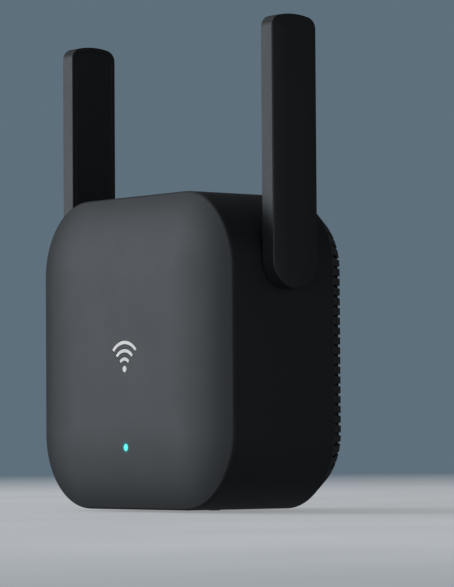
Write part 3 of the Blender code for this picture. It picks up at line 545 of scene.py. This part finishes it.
FINISHES = {
    # cover, antenna, rear and housing plastic are one black plastic: the cover's paler colour is painted light on
    # the lit front face, and the housing's and rear's darker colours are painted shade on the sides
    "cover_plastic": (cover_with_glow, dict(colour=(0.0115, 0.0120, 0.0128), roughness=0.52)),
    "housing_plastic": (moulded_plastic, dict(colour=(0.0090, 0.0093, 0.0100), roughness=0.52)),
    "rear_plastic": (
        moulded_plastic,
        dict(colour=(0.0095, 0.0098, 0.0105), roughness=0.55, grain=0.3, relief=0.45),
    ),
    "antenna_plastic": (
        moulded_plastic,
        dict(colour=(0.0105, 0.0110, 0.0118), roughness=0.52, relief=0.32),
    ),
    "button_plastic": (moulded_plastic, dict(colour=(0.012, 0.012, 0.013), roughness=0.38)),
    "plug_moulding": (
        moulded_plastic,
        dict(colour=(0.014, 0.014, 0.015), roughness=0.42, grain=0.35, relief=0.4),
    ),
    "emblem_metal": (
        bare_metal,
        dict(colour=(0.42, 0.39, 0.365), roughness=0.5, relief=0.1, scratches=0.04),
    ),
    "plated_brass": (
        bare_metal,
        dict(colour=(0.78, 0.76, 0.71), roughness=0.3, brush=(1, 0.03, 1), scratches=0.12),
    ),
    "light_pipe": (lit_pipe, dict(colour=(0.05, 0.93, 0.92), strength=0.97)),
    "circuit_board": (solder_mask, dict(colour=(0.012, 0.06, 0.03), roughness=0.35)),
    "tinned_steel": (
        bare_metal,
        dict(colour=(0.55, 0.56, 0.57), roughness=0.32, brush=(0.05, 1, 1)),
    ),
    "chip_epoxy": (moulded_plastic, dict(colour=(0.014, 0.014, 0.015), roughness=0.55, grain=0.1)),
    "silicone_pad": (glossy_coat, dict(colour=(0.25, 0.30, 0.36), roughness=0.6, pattern=1.2)),
    "aluminium": (
        bare_metal,
        dict(colour=(0.70, 0.71, 0.73), roughness=0.36, brush=(0.05, 1, 1), relief=0.4),
    ),
    "ferrite": (
        moulded_plastic,
        dict(colour=(0.03, 0.028, 0.028), roughness=0.65, grain=0.15, relief=0.6),
    ),
    "winding_tape": (
        glossy_coat,
        dict(colour=(0.62, 0.42, 0.06), roughness=0.32, pattern=2.5, contrast=0.18),
    ),
    "capacitor_sleeve": (glossy_coat, dict(colour=(0.02, 0.04, 0.12), roughness=0.3, pattern=3.0)),
    "ceramic_blue": (glossy_coat, dict(colour=(0.03, 0.16, 0.45), roughness=0.35, pattern=1.0)),
    "fuse_body": (glossy_coat, dict(colour=(0.10, 0.16, 0.12), roughness=0.3, pattern=1.5)),
    "insulation_film": (
        glossy_coat,
        dict(colour=(0.60, 0.58, 0.50), roughness=0.35, pattern=6.0, contrast=0.08),
    ),
    "coax_jacket": (moulded_plastic, dict(colour=(0.03, 0.03, 0.032), roughness=0.4, grain=0.4)),
    "screw_steel": (bare_metal, dict(colour=(0.42, 0.42, 0.43), roughness=0.34)),
    "spring_steel": (
        bare_metal,
        dict(colour=(0.50, 0.50, 0.51), roughness=0.28, brush=(1, 1, 0.08)),
    ),
    "switch_body": (moulded_plastic, dict(colour=(0.02, 0.02, 0.022), roughness=0.5)),
    "led_package": (glossy_coat, dict(colour=(0.65, 0.66, 0.62), roughness=0.3, pattern=0.6)),
}
made_finishes = {}


def finish_of(slot):
    """The slot's material, made the first time that it is asked for."""
    if slot not in made_finishes:
        maker, settings = FINISHES[slot]
        made_finishes[slot] = maker(slot, **settings).material
    return made_finishes[slot]


# ---- Emblem -------------------------------------------------------------------------------
def thick_arc(radius, stroke, spread, steps=28):
    """A thick arc centred on straight up, as (x, z) points."""
    start, end = math.radians(90) + spread, math.radians(90) - spread
    outer = arc_points((0, 0), radius + stroke / 2, start, end, steps)
    inner = arc_points((0, 0), radius - stroke / 2, end, start, steps)
    return outer + inner


def emblem_outlines(grow):
    """A dot and three widening arcs: the plain sign for a radio signal."""
    outlines = [arc_points((0, 0), EMBLEM_DOT + grow, 0, math.tau, 48)[:-1]]
    for radius in EMBLEM_RADII:
        outlines.append(thick_arc(radius, EMBLEM_STROKE + 2 * grow, EMBLEM_SPREAD + grow / radius))
    return outlines


def emblem_rings(index, profile):
    """Rings of one emblem shape, one for each (growth, y) of the profile."""
    base_z = (dot_low.z + dot_high.z) / 2
    rings = []
    for grow, y in profile:
        outline = emblem_outlines(grow)[index]
        rings.append([(x, y, z + base_z) for x, z in outline])
    return rings


def make_emblem():
    """The bright sign's four inlays, each with a broken front edge."""
    front, back = dot_low.y, dot_high.y
    profile = [(-EMBLEM_EDGE, front), (0, front + EMBLEM_EDGE), (0, back)]
    names = ("emblem_dot", "emblem_arc_inner", "emblem_arc_middle", "emblem_arc_outer")
    for index, node in enumerate(names):
        piece = new_mesh(f"{node}_inlay", loft(emblem_rings(index, profile)))
        finish_piece(piece, "housing", "emblem_metal", node)


# ---- Front cover --------------------------------------------------------------------------
def crown_profile(edge_inset, y_shift, steps):
    """The pillow's (inset, y) pairs, from its flat middle out to its edge."""
    pairs = []
    for step in range(steps + 1):
        share = step / steps
        bend = max(0.0, (share - EDGE_START) / (1 - EDGE_START))
        height = (CROWN - EDGE_DROP) * (1 - share**2) + EDGE_DROP * (1 - bend**EDGE_POWER)
        pairs.append((edge_inset + CROWN_EDGE * (1 - share), Y_CREASE - height + y_shift))
    return pairs


def make_front_cover():
    """A pillow-shaped plate with a fine rounded rim, and the skirt behind it."""
    crown = crown_profile(COVER_INSET + COVER_ROUND, 0, CROWN_STEPS)
    rim = (COVER_INSET, Y_CREASE + COVER_ROUND)
    corner = (COVER_INSET + 0.03, Y_CREASE + 0.12)
    plate_back = Y_SHOULDER - PLATE_GAP
    skirt_inner = SKIRT_INSET + SKIRT_WALL
    profile = crown[:-1] + rounded_corner(crown[-1], corner, rim)
    profile += [
        (COVER_INSET, Y_RIM_BACK),
        (PLATE_INSET, Y_RIM_BACK),
        (PLATE_INSET, plate_back),
        (SKIRT_INSET, plate_back),
        (SKIRT_INSET, Y_COVER_BACK),
        (skirt_inner, Y_COVER_BACK),
        (skirt_inner, Y_CREASE + COVER_THICKNESS),
    ]
    inner_edge = skirt_inner + INNER_CROWN_INSET
    profile += reversed(crown_profile(inner_edge, COVER_THICKNESS, INNER_CROWN_STEPS)[:-1])
    cover = new_mesh("front_cover_shell", loft(body_rings(profile)))
    mouth = pipe_low.y + PIPE_MOUTH
    hole = [(PIPE_HOLE, Y_SHOULDER + 2), (PIPE_HOLE, mouth), (PIPE_HOLE + 1.5, mouth - 1.5)]
    combine(cover, turned(hole, (0, 0, PIPE_Z), "Y"))
    pockets = bmesh.new()
    pocket = [(FINE_GAP, dot_low.y - PAST), (FINE_GAP, dot_high.y + FINE_GAP)]
    for index in range(len(EMBLEM_RADII) + 1):
        loft(emblem_rings(index, pocket), pockets)
    combine(cover, pockets)
    finish_piece(cover, "housing", "cover_plastic", "front_cover")


# ---- Main housing -------------------------------------------------------------------------
def boss_places():
    """The four housing screws' places, from their packed boxes."""
    for level in ("top", "bottom"):
        for _, word in SIDES:
            low, high = box_mm(f"housing_screw_{level}_{word}")
            yield (low.x + high.x) / 2, (low.z + high.z) / 2


def add_pivot_opening(housing, side, word):
    """A thickened ring of wall round one pivot, bored through and chamfered at its outer edge."""
    hinge = hinges[f"antenna_{word}_hinge"]
    across = (0, hinge.y, hinge.z)
    pad = [(PIVOT_PAD, side * (BODY_HALF - d)) for d in (PIVOT_PAD_INNER, PIVOT_PAD_OUTER)]
    combine(housing, turned(pad, across, "X"), "UNION")
    mouth = BODY_HALF - PIVOT_CHAMFER
    hole = [
        (PIVOT_HOLE, side * (BODY_HALF - PIVOT_HOLE_DEPTH)),
        (PIVOT_HOLE, side * mouth),
        (PIVOT_HOLE + PAST, side * (mouth + PAST)),
    ]
    combine(housing, turned(hole, across, "X"))


def add_board_post(housing, word):
    """A post behind the front wall for one of the board's screws, with its pilot hole."""
    screw_low, screw_high = box_mm(f"board_screw_{word}")
    place = ((screw_low.x + screw_high.x) / 2, 0, (screw_low.z + screw_high.z) / 2)
    board_low, _ = box_mm("main_board")
    root = Y_FRONT_WALL + FRONT_WALL - POST_ROOT
    post = [(POST_RADIUS, root), (POST_RADIUS, board_low.y - GAP)]
    combine(housing, turned(post, place, "Y", HOLE_STEPS), "UNION")
    pilot = [(POST_PILOT, board_low.y - POST_PILOT_DEPTH), (POST_PILOT, board_low.y + PAST)]
    combine(housing, turned(pilot, place, "Y", HOLE_STEPS))


def make_main_housing():
    """The sleeve with its front wall, pivot openings, board posts and button hole."""
    front = Y_RIM_BACK + SEAM
    back = Y_SIDE_END
    wall_back = Y_FRONT_WALL + FRONT_WALL
    profile = [(WALL, Y_FRONT_WALL), (WALL, Y_SHOULDER)]
    profile += [(LIP_WIDTH, Y_SHOULDER), (LIP_WIDTH, front)]
    profile += rounded_corner((LIP_ROUND, front), (0, front), (0, front + LIP_ROUND), 3)
    profile += rounded_corner((0, back - BACK_ROUND), (0, back), (BACK_ROUND, back), 2)
    profile += [(WALL, back), (WALL, wall_back)]
    housing = new_mesh("main_housing_shell", loft(body_rings(profile)))
    for side, word in SIDES:
        add_pivot_opening(housing, side, word)
        add_board_post(housing, word)
    holes = bmesh.new()
    through = (Y_FRONT_WALL - PAST, wall_back + PAST)
    for x, z in boss_places():
        turned([(SCREW_HOLE, y) for y in through], (x, 0, z), "Y", HOLE_STEPS, holes)
    turned([(PIPE_PASSAGE, y) for y in through], (0, 0, PIPE_Z), "Y", HOLE_STEPS, holes)
    combine(housing, holes)
    mouth = housing_low.z + BUTTON_CHAMFER
    hole = [(BUTTON_HOLE, housing_low.z + BUTTON_HOLE_DEPTH), (BUTTON_HOLE, mouth)]
    hole += [(BUTTON_HOLE + PAST / 2, mouth - PAST / 2)]
    combine(housing, turned(hole, (0, BUTTON_Y, 0), "Z"))
    finish_piece(housing, "housing", "housing_plastic", "main_housing")


# ---- Rear cover ---------------------------------------------------------------------------
def slot_places():
    """Each vent slot's place on the rim's section (x, z) and its outward angle."""
    first = -(SLOTS_PER_SIDE - 1) / 2 * SLOT_PITCH
    rim = BODY_HALF - TAPER_INSET
    reach = (BODY_HALF - CORNER_RADIUS) * math.sqrt(2)
    quarter = math.radians(90)
    steps = SLOTS_PER_CORNER + 1
    for side in range(4):
        turn = quarter * side
        for k in range(SLOTS_PER_SIDE):
            along = first + SLOT_PITCH * k
            x = rim * math.cos(turn) - along * math.sin(turn)
            z = rim * math.sin(turn) + along * math.cos(turn)
            yield x, z, turn
        middle = turn + quarter / 2
        centre = (reach * math.cos(middle), reach * math.sin(middle))
        arc = arc_points(centre, CORNER_RADIUS - TAPER_INSET, turn, turn + quarter, steps)
        for k in range(1, steps):
            yield (*arc[k], turn + quarter * k / steps)


def vent_slots():
    """Two cutters for the radial slots: deep through the tapered wall, shallow over its back edge."""
    start = Y_BACK - TAPER_DEPTH * (1 - SLOT_START)
    notch_start = Y_BACK - NOTCH_DEPTH
    spans = ((SLOT_INWARDS, start, notch_start), (NOTCH_INWARDS, start, Y_BACK + PAST))
    for inwards, front, back in spans:
        slots = bmesh.new()
        size = Matrix.Diagonal((inwards + SLOT_OUTWARDS, back - front, SLOT_WIDTH, 1))
        shift = Matrix.Translation(((SLOT_OUTWARDS - inwards) / 2, (back + front) / 2, 0))
        for x, z, angle in slot_places():
            place = Matrix.Translation((x, 0, z + CENTRE_Z)) @ Matrix.Rotation(-angle, 4, "Y")
            bmesh.ops.create_cube(slots, size=1, matrix=place @ shift @ size)
        yield slots


def make_rear_cover():
    """A shallow dish with a tapered wall, screw bosses, vent slots and the plug's opening."""
    tongue_inner = SKIRT_INSET + TONGUE_WALL
    slope = TAPER_INSET / TAPER_DEPTH
    profile = [
        (TAPER_INSET + REAR_WALL, Y_BACK - REAR_FLOOR),
        (tongue_inner, Y_TAPER),
        (tongue_inner, Y_TAPER - TONGUE_DEPTH),
        (SKIRT_INSET, Y_TAPER - TONGUE_DEPTH),
        (SKIRT_INSET, Y_SHUT_LINE),
    ]
    shut_edge = ((SHUT_ROUND, Y_SHUT_LINE), (0, Y_SHUT_LINE), (0, Y_SHUT_LINE + SHUT_ROUND))
    profile += rounded_corner(*shut_edge, 2)
    profile += [(0, Y_TAPER)]
    for step in range(1, TAPER_STEPS):
        depth = TAPER_DEPTH * step / TAPER_STEPS
        profile.append((depth * slope, Y_TAPER + depth))
    before = (TAPER_INSET - REAR_ROUND * slope, Y_BACK - REAR_ROUND)
    profile += rounded_corner(before, (TAPER_INSET, Y_BACK), (TAPER_INSET + REAR_ROUND, Y_BACK), 4)
    cover = new_mesh("rear_cover_shell", loft(body_rings(profile)))
    bosses, cuts = bmesh.new(), bmesh.new()
    for x, z in boss_places():
        boss = [(BOSS_RADIUS, rear_low.y), (BOSS_RADIUS, Y_BACK - REAR_FLOOR / 3)]
        turned(boss, (x, 0, z), "Y", BOSS_STEPS, bosses)
        pilot = [(BOSS_PILOT, rear_low.y - PAST), (BOSS_PILOT, rear_low.y + BOSS_PILOT_DEPTH)]
        turned(pilot, (x, 0, z), "Y", HOLE_STEPS, cuts)
    combine(cover, bosses, "UNION")
    opening = [
        (0, Y_BACK - REAR_FLOOR - PAST),
        (0, Y_BACK - PLUG_CHAMFER),
        (PLUG_CHAMFER + PAST, Y_BACK + PAST),
    ]
    loft([plug_outline(grow + GAP, y) for grow, y in opening], cuts)
    combine(cover, cuts)
    for slots in vent_slots():
        combine(cover, slots)
    finish_piece(cover, "housing", "rear_plastic", "rear_cover")


# ---- Plug ---------------------------------------------------------------------------------
def plug_outline(grow, y, shape=PLUG_NECK):
    """The plug's outline at this depth, made larger or smaller by an even amount."""
    half_x, half_z, radius = shape
    outline = rounded_square(half_x + grow, radius + grow, half_z + grow, 10, 3)
    return [(x, y, z + PLUG_Z) for x, z in outline]


def cut_blade_slots(insert):
    """Takes the two blades' slots out of the insert, with a chamfer at their mouths."""
    cuts = bmesh.new()
    for _, word in SIDES:
        low, high = box_mm(f"plug_blade_{word}")
        half_x = (high.x - low.x) / 2 + BLADE_CLEARANCE
        half_z = (high.z - low.z) / 2 + BLADE_CLEARANCE
        centre_x = (low.x + high.x) / 2
        mouth = Y_BACK - BLADE_SLOT_EDGE
        profile = ((0, insert_low.y - PAST), (0, mouth), (BLADE_SLOT_EDGE + PAST, Y_BACK + PAST))
        rings = []
        for grow, y in profile:
            outline = rounded_square(half_x + grow, BLADE_SLOT_EDGE + grow, half_z + grow, 4, 1)
            rings.append([(x + centre_x, y, z + PLUG_Z) for x, z in outline])
        loft(rings, cuts)
    combine(insert, cuts)


def make_plug():
    """The insulating insert, with a fine groove round its face, and its two blades."""
    flange_back = Y_BACK - REAR_FLOOR - GAP
    rings = [plug_outline(0, y, PLUG_FLANGE) for y in (insert_low.y, flange_back)]
    rim = ((0, Y_BACK - PLUG_ROUND), (0, Y_BACK), (-PLUG_ROUND, Y_BACK))
    neck = [(0, flange_back)] + rounded_corner(*rim)
    outer, inner = FACE_GROOVE
    groove_floor = Y_BACK - FACE_GROOVE_DEPTH
    groove = [
        (-outer, Y_BACK),
        (-outer - FACE_GROOVE_DEPTH, groove_floor),
        (-inner + FACE_GROOVE_DEPTH, groove_floor),
        (-inner, Y_BACK),
    ]
    rings += [plug_outline(grow, y) for grow, y in neck + groove]
    insert = new_mesh("plug_insert_body", loft(rings))
    cut_blade_slots(insert)
    finish_piece(insert, "housing", "plug_moulding", "plug_insert")
    for _, word in SIDES:
        make_blade(word)


def make_blade(word):
    """A flat blade with broken edges, whose tip narrows to a small round end."""
    low, high = box_mm(f"plug_blade_{word}")
    half = ((high.x - low.x) / 2, (high.z - low.z) / 2)
    centre_x = (low.x + high.x) / 2
    profile = [(-0.15, low.y), (0, low.y + 0.15), (0, high.y - 1.7)]
    profile += rounded_corner((0, high.y - 1.5), (-0.3, high.y - 0.55), (-0.42, high.y - 0.3), 4)
    profile += rounded_corner((-0.45, high.y - 0.2), (-0.52, high.y), (-0.66, high.y), 3)
    rings = []
    for grow, y in profile:
        outline = rounded_square(half[0] + grow, BLADE_EDGE, half[1] + grow * 1.6, 5, 3)
        rings.append([(x + centre_x, y, z + PLUG_Z) for x, z in outline])
    blade = new_mesh(f"plug_blade_{word}_metal", loft(rings))
    finish_piece(blade, "housing", "plated_brass", f"plug_blade_{word}")


# ---- Light pipe and reset button ----------------------------------------------------------
def make_light_pipe():
    """A stepped clear rod with a softly rounded end that shows in the cover."""
    front, back = pipe_low.y, pipe_high.y
    radius = PIPE_RADIUS
    profile = [(0.12, front)]
    profile += rounded_corner((0.6, front + 0.01), (radius, front + 0.02), (radius, front + 0.12))
    profile += [(radius, Y_CREASE + 0.2), (PIPE_FLANGE, Y_CREASE + 0.6), (PIPE_FLANGE, back)]
    pipe = new_mesh("status_light_pipe", turned(profile, (0, 0, PIPE_Z), "Y", PIN_STEPS))
    finish_piece(pipe, "housing", "light_pipe", "led_light_pipe")


def make_reset_button():
    """A small cap with a rounded rim and a dished end, on its wider flange."""
    low, high = button_low.z, button_high.z
    flange = (button_high.y - button_low.y) / 2
    radius = BUTTON_RADIUS
    step = high - BUTTON_FLANGE_DEPTH
    profile = [(0.2, low + BUTTON_DISH), (0.7, low + 0.08), (radius - 0.18, low + 0.005)]
    rim = ((radius - BUTTON_ROUND, low), (radius, low), (radius, low + BUTTON_ROUND))
    profile += rounded_corner(*rim, 5)
    profile += [(radius, step), (flange - 0.1, step), (flange, step + 0.1), (flange, high)]
    button = new_mesh("reset_button_cap", turned(profile, (0, BUTTON_Y, 0), "Z", PIN_STEPS))
    finish_piece(button, "reset_button", "button_plastic", "reset_button")


# ---- Antennas -----------------------------------------------------------------------------
def paddle_outline(width, length, inset):
    """The paddle's outline (y, z) about its pivot: half-round foot, softly crowned tip."""
    half = width / 2 - inset
    top = length - width / 2 - inset
    crown = TIP_CROWN_RADIUS - inset
    corner = max(TIP_CORNER_RADIUS - inset, LEAST_RADIUS)
    crown_z = top - crown
    corner_y = half - corner
    corner_z = crown_z + math.sqrt((crown - corner) ** 2 - corner_y**2)
    meet = math.atan2(corner_z - crown_z, corner_y)
    steps = PADDLE_SIDE_STEPS
    left, right = (-corner_y, corner_z), (corner_y, corner_z)
    points = arc_points((0, 0), half, math.pi, math.tau, FOOT_STEPS)
    points += [(half, corner_z * k / steps) for k in range(1, steps)]
    points += arc_points(right, corner, 0, meet, TIP_CORNER_STEPS)
    points += arc_points((0, crown_z), crown, meet, math.pi - meet, TIP_STEPS)[1:-1]
    points += arc_points(left, corner, math.pi - meet, math.pi, TIP_CORNER_STEPS)
    points += [(-half, corner_z * (1 - k / steps)) for k in range(1, steps)]
    return points


def paddle_rings(side, word, profile):
    """Rings of one paddle, one for each (inset, distance outwards from its inner face)."""
    pivot = hinges[f"antenna_{word}_hinge"]
    low, high = box_mm(f"antenna_shell_{word}")
    rings = []
    for inset, distance in profile:
        outline = paddle_outline(high.y - low.y, high.z - low.z, inset)
        rings.append([(pivot.x + side * distance, pivot.y + y, pivot.z + z) for y, z in outline])
    return rings


def make_antenna_tray(side, word):
    """The hollow outer half of a paddle, with soft edges and a slightly crowned face."""
    low, high = box_mm(f"antenna_shell_{word}")
    thickness = high.x - low.x
    edge = thickness - FACE_CROWN
    mouth_inset, mouth_depth = MOUTH_EDGE
    profile = [
        (TRAY_WALL, thickness - TRAY_FACE),
        (TRAY_WALL, mouth_depth),
        (TRAY_WALL - mouth_inset, 0),
    ]
    profile += rounded_corner((INNER_ROUND, 0), (0, 0), (0, INNER_ROUND), 4)
    profile += rounded_corner((0, edge - OUTER_ROUND), (0, edge - 0.05), (OUTER_ROUND, edge), 7)
    for step in range(1, FACE_STEPS + 1):
        share = step / FACE_STEPS
        inset = OUTER_ROUND + (FACE_MARGIN - OUTER_ROUND) * share
        profile.append((inset, thickness - FACE_CROWN * (1 - share) ** 2))
    tray = new_mesh(f"antenna_tray_{word}", loft(paddle_rings(side, word, profile)))
    finish_piece(tray, f"antenna_{word}", "antenna_plastic", f"antenna_shell_{word}")


def make_antenna_lid(side, word):
    """The lid that closes the tray, with its hollow pivot and the clip's groove round it."""
    pivot = hinges[f"antenna_{word}_hinge"]
    inset = TRAY_WALL + LID_GAP
    mouth_inset, mouth_depth = MOUTH_EDGE
    profile = [(inset, LID_THICKNESS), (inset, mouth_depth), (inset + mouth_inset, 0)]
    lid = new_mesh(f"antenna_lid_{word}", loft(paddle_rings(side, word, profile)))
    lid_low, lid_high = box_mm(f"antenna_inner_cover_{word}")
    stem_end = lid_low.x if side > 0 else lid_high.x
    across = (0, pivot.y, pivot.z)
    start = pivot.x + side * LID_THICKNESS / 2
    groove = PIVOT_RADIUS - CLIP_GROOVE_DEPTH
    groove_end = stem_end + side * CLIP_GROOVE_START
    groove_start = groove_end + side * CLIP_GROOVE_WIDTH
    stem = [
        (PIVOT_RADIUS, start),
        (PIVOT_RADIUS, groove_start),
        (groove, groove_start),
        (groove, groove_end),
        (PIVOT_RADIUS, groove_end),
        (PIVOT_RADIUS, stem_end + side * STEM_CHAMFER),
        (PIVOT_RADIUS - STEM_CHAMFER, stem_end),
    ]
    combine(lid, turned(stem, across, "X"), "UNION")
    bore = [(PIVOT_BORE, start + side * 2), (PIVOT_BORE, stem_end - side * PAST)]
    combine(lid, turned(bore, across, "X"))
    finish_piece(lid, f"antenna_{word}", "antenna_plastic", f"antenna_inner_cover_{word}")


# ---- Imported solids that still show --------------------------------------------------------
def dress_packed_nodes():
    """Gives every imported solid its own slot's procedural finish."""
    for part in frame["record"]["subparts"]:
        node = frame["nodes"][part["node"]]
        node.data.materials.clear()
        node.data.materials.append(finish_of(part["material_slot"]))


# ---- Camera, floor and light --------------------------------------------------------------
CAMERA_PLACE = Vector((630.1, -503.0, -30.6))
CAMERA_YAW = math.radians(51.84)
CAMERA_PITCH = math.radians(2.68)
CAMERA_ROLL = math.radians(0.37)
CAMERA_LENS = 199.75
CAMERA_CLIP = (0.01, 50)  # metres
SENSOR = 36.0

FLOOR_RADIUS = 3.0  # metres
FLOOR_FADE = (0.3, 1.0)  # metres from its middle
FLOOR_TINTS = ((0.60, 0.61, 0.62), (0.64, 0.65, 0.66))
FLOOR_MOTTLE = 60  # millimetres
FLOOR_GLOW = 0.45
BACKDROP = (0.115, 0.162, 0.205, 1)
WORLD_TINT = (0.80, 0.90, 1.0, 1)
WORLD_LIGHT = 0.081
ALL_ROUND = 180  # degrees over which an ordinary softbox shines
COOL = (0.911, 1.004, 1.095)  # the softboxes' slightly blue white
SOFTBOXES = {
    "key_middle": dict(
        direction=(-0.75, -0.656, 0.06), distance=1.2, size=(0.45, 0.5), power=2.54
    ),
    "key_upper": dict(
        direction=(-0.745, -0.656, 0.30), distance=1.2, size=(0.45, 0.5), power=2.76
    ),
    "key_lower": dict(
        direction=(-0.745, -0.656, -0.20), distance=1.2, size=(0.45, 0.5), power=1.30
    ),
    "front": dict(direction=(0.45, -0.89, 0.0), distance=1.2, size=(0.5, 0.5), power=2.7),
    "side": dict(direction=(1, -0.14, -0.1), distance=0.35, size=(0.15, 0.3), power=0.105),
    "top": dict(direction=(-0.5, -0.2, 0.85), distance=1.4, size=(0.9, 0.9), power=2.6),
    "bounce": dict(direction=(-0.3, 0.65, -0.7), distance=0.7, size=(0.5, 0.5), power=0.02),
    "back": dict(
        direction=(0.15, 0.97, -0.1), distance=0.3, size=(0.045, 0.045), power=0.006, spread=4
    ),
}


def make_camera():
    """The photo's camera, turned to its yaw, then tipped up, then rolled."""
    ahead = Vector((-math.sin(CAMERA_YAW), math.cos(CAMERA_YAW), 0))
    right = Vector((math.cos(CAMERA_YAW), math.sin(CAMERA_YAW), 0))
    up = Vector((0, 0, 1))
    view = ahead * math.cos(CAMERA_PITCH) + up * math.sin(CAMERA_PITCH)
    top = up * math.cos(CAMERA_PITCH) - ahead * math.sin(CAMERA_PITCH)
    across = right * math.cos(CAMERA_ROLL) - top * math.sin(CAMERA_ROLL)
    upright = right * math.sin(CAMERA_ROLL) + top * math.cos(CAMERA_ROLL)
    data = bpy.data.cameras.new("camera")
    data.lens = CAMERA_LENS
    data.sensor_width = SENSOR
    data.clip_start, data.clip_end = CAMERA_CLIP
    camera = bpy.data.objects.new("camera", data)
    turn = Matrix((across, upright, -view)).transposed().to_4x4()
    camera.matrix_world = Matrix.Translation(CAMERA_PLACE * MM) @ turn
    bpy.context.scene.collection.objects.link(camera)
    bpy.context.scene.camera = camera


def add_softbox(name, direction, distance, size, power, spread=ALL_ROUND):
    """A light this many metres from the object's middle or, a narrow one, the housing's."""
    data = bpy.data.lights.new(name, "AREA")
    data.shape = "RECTANGLE"
    data.size, data.size_y = size
    data.energy = power
    data.spread = math.radians(spread)
    data.color = COOL
    light = bpy.data.objects.new(name, data)
    away = Vector(direction).normalized()
    middle = (cad_low + cad_high) / 2
    aim = middle if spread == ALL_ROUND else Vector((0, 0, CENTRE_Z * MM))
    light.location = aim + away * distance
    light.rotation_mode = "QUATERNION"
    light.rotation_quaternion = (-away).to_track_quat("-Z", "Y")
    light.visible_camera = False
    bpy.context.scene.collection.objects.link(light)


def make_floor():
    """A pale round floor that fades into the backdrop well away from the object."""
    mesh_data = bmesh.new()
    bmesh.ops.create_circle(mesh_data, cap_ends=True, segments=96, radius=FLOOR_RADIUS / MM)
    bmesh.ops.translate(mesh_data, vec=(0, 0, cad_low.z / MM), verts=mesh_data.verts)
    floor = new_mesh("floor", mesh_data)
    finish = Finish("pale_floor")
    mottle = finish.ramp(finish.noise(FLOOR_MOTTLE, 4.0), 0, 1)
    tint = finish.mix(mottle, *FLOOR_TINTS)
    finish.give(finish.shader.inputs["Base Color"], tint)
    finish.give(finish.shader.inputs["Roughness"], finish.ramp(mottle, 0.75, 0.85))
    away = finish.node("ShaderNodeVectorMath")
    away.operation = "LENGTH"
    finish.give(away.inputs[0], finish.place)
    shown = finish.ramp(away.outputs["Value"], 1, 0, *FLOOR_FADE)
    finish.give(finish.shader.inputs["Alpha"], shown)
    finish.give(finish.shader.inputs["Emission Color"], tint)
    finish.shader.inputs["Emission Strength"].default_value = FLOOR_GLOW
    floor.data.materials.append(finish.material)
    floor.visible_diffuse = False
    floor.visible_glossy = False
    floor.visible_shadow = False


def make_world():
    """Even dim light all round, behind which the camera sees a plain blue-grey backdrop."""
    world = bpy.data.worlds.new("studio")
    world.use_nodes = True
    tree = world.node_tree
    lighting = tree.nodes["Background"]
    lighting.inputs["Color"].default_value = WORLD_TINT
    lighting.inputs["Strength"].default_value = WORLD_LIGHT
    backdrop = tree.nodes.new("ShaderNodeBackground")
    backdrop.inputs["Color"].default_value = BACKDROP
    rays = tree.nodes.new("ShaderNodeLightPath")
    choose = tree.nodes.new("ShaderNodeMixShader")
    tree.links.new(rays.outputs["Is Camera Ray"], choose.inputs["Fac"])
    tree.links.new(lighting.outputs["Background"], choose.inputs[1])
    tree.links.new(backdrop.outputs["Background"], choose.inputs[2])
    tree.links.new(choose.outputs["Shader"], tree.nodes["World Output"].inputs["Surface"])
    bpy.context.scene.world = world


make_front_cover()
make_main_housing()
make_rear_cover()
make_emblem()
make_plug()
make_light_pipe()
make_reset_button()
for side, word in SIDES:
    make_antenna_tray(side, word)
    make_antenna_lid(side, word)
dress_packed_nodes()
make_camera()
make_floor()
make_world()
for name, settings in SOFTBOXES.items():
    add_softbox(name, **settings)
bpy.context.scene.view_settings.view_transform = "Standard"
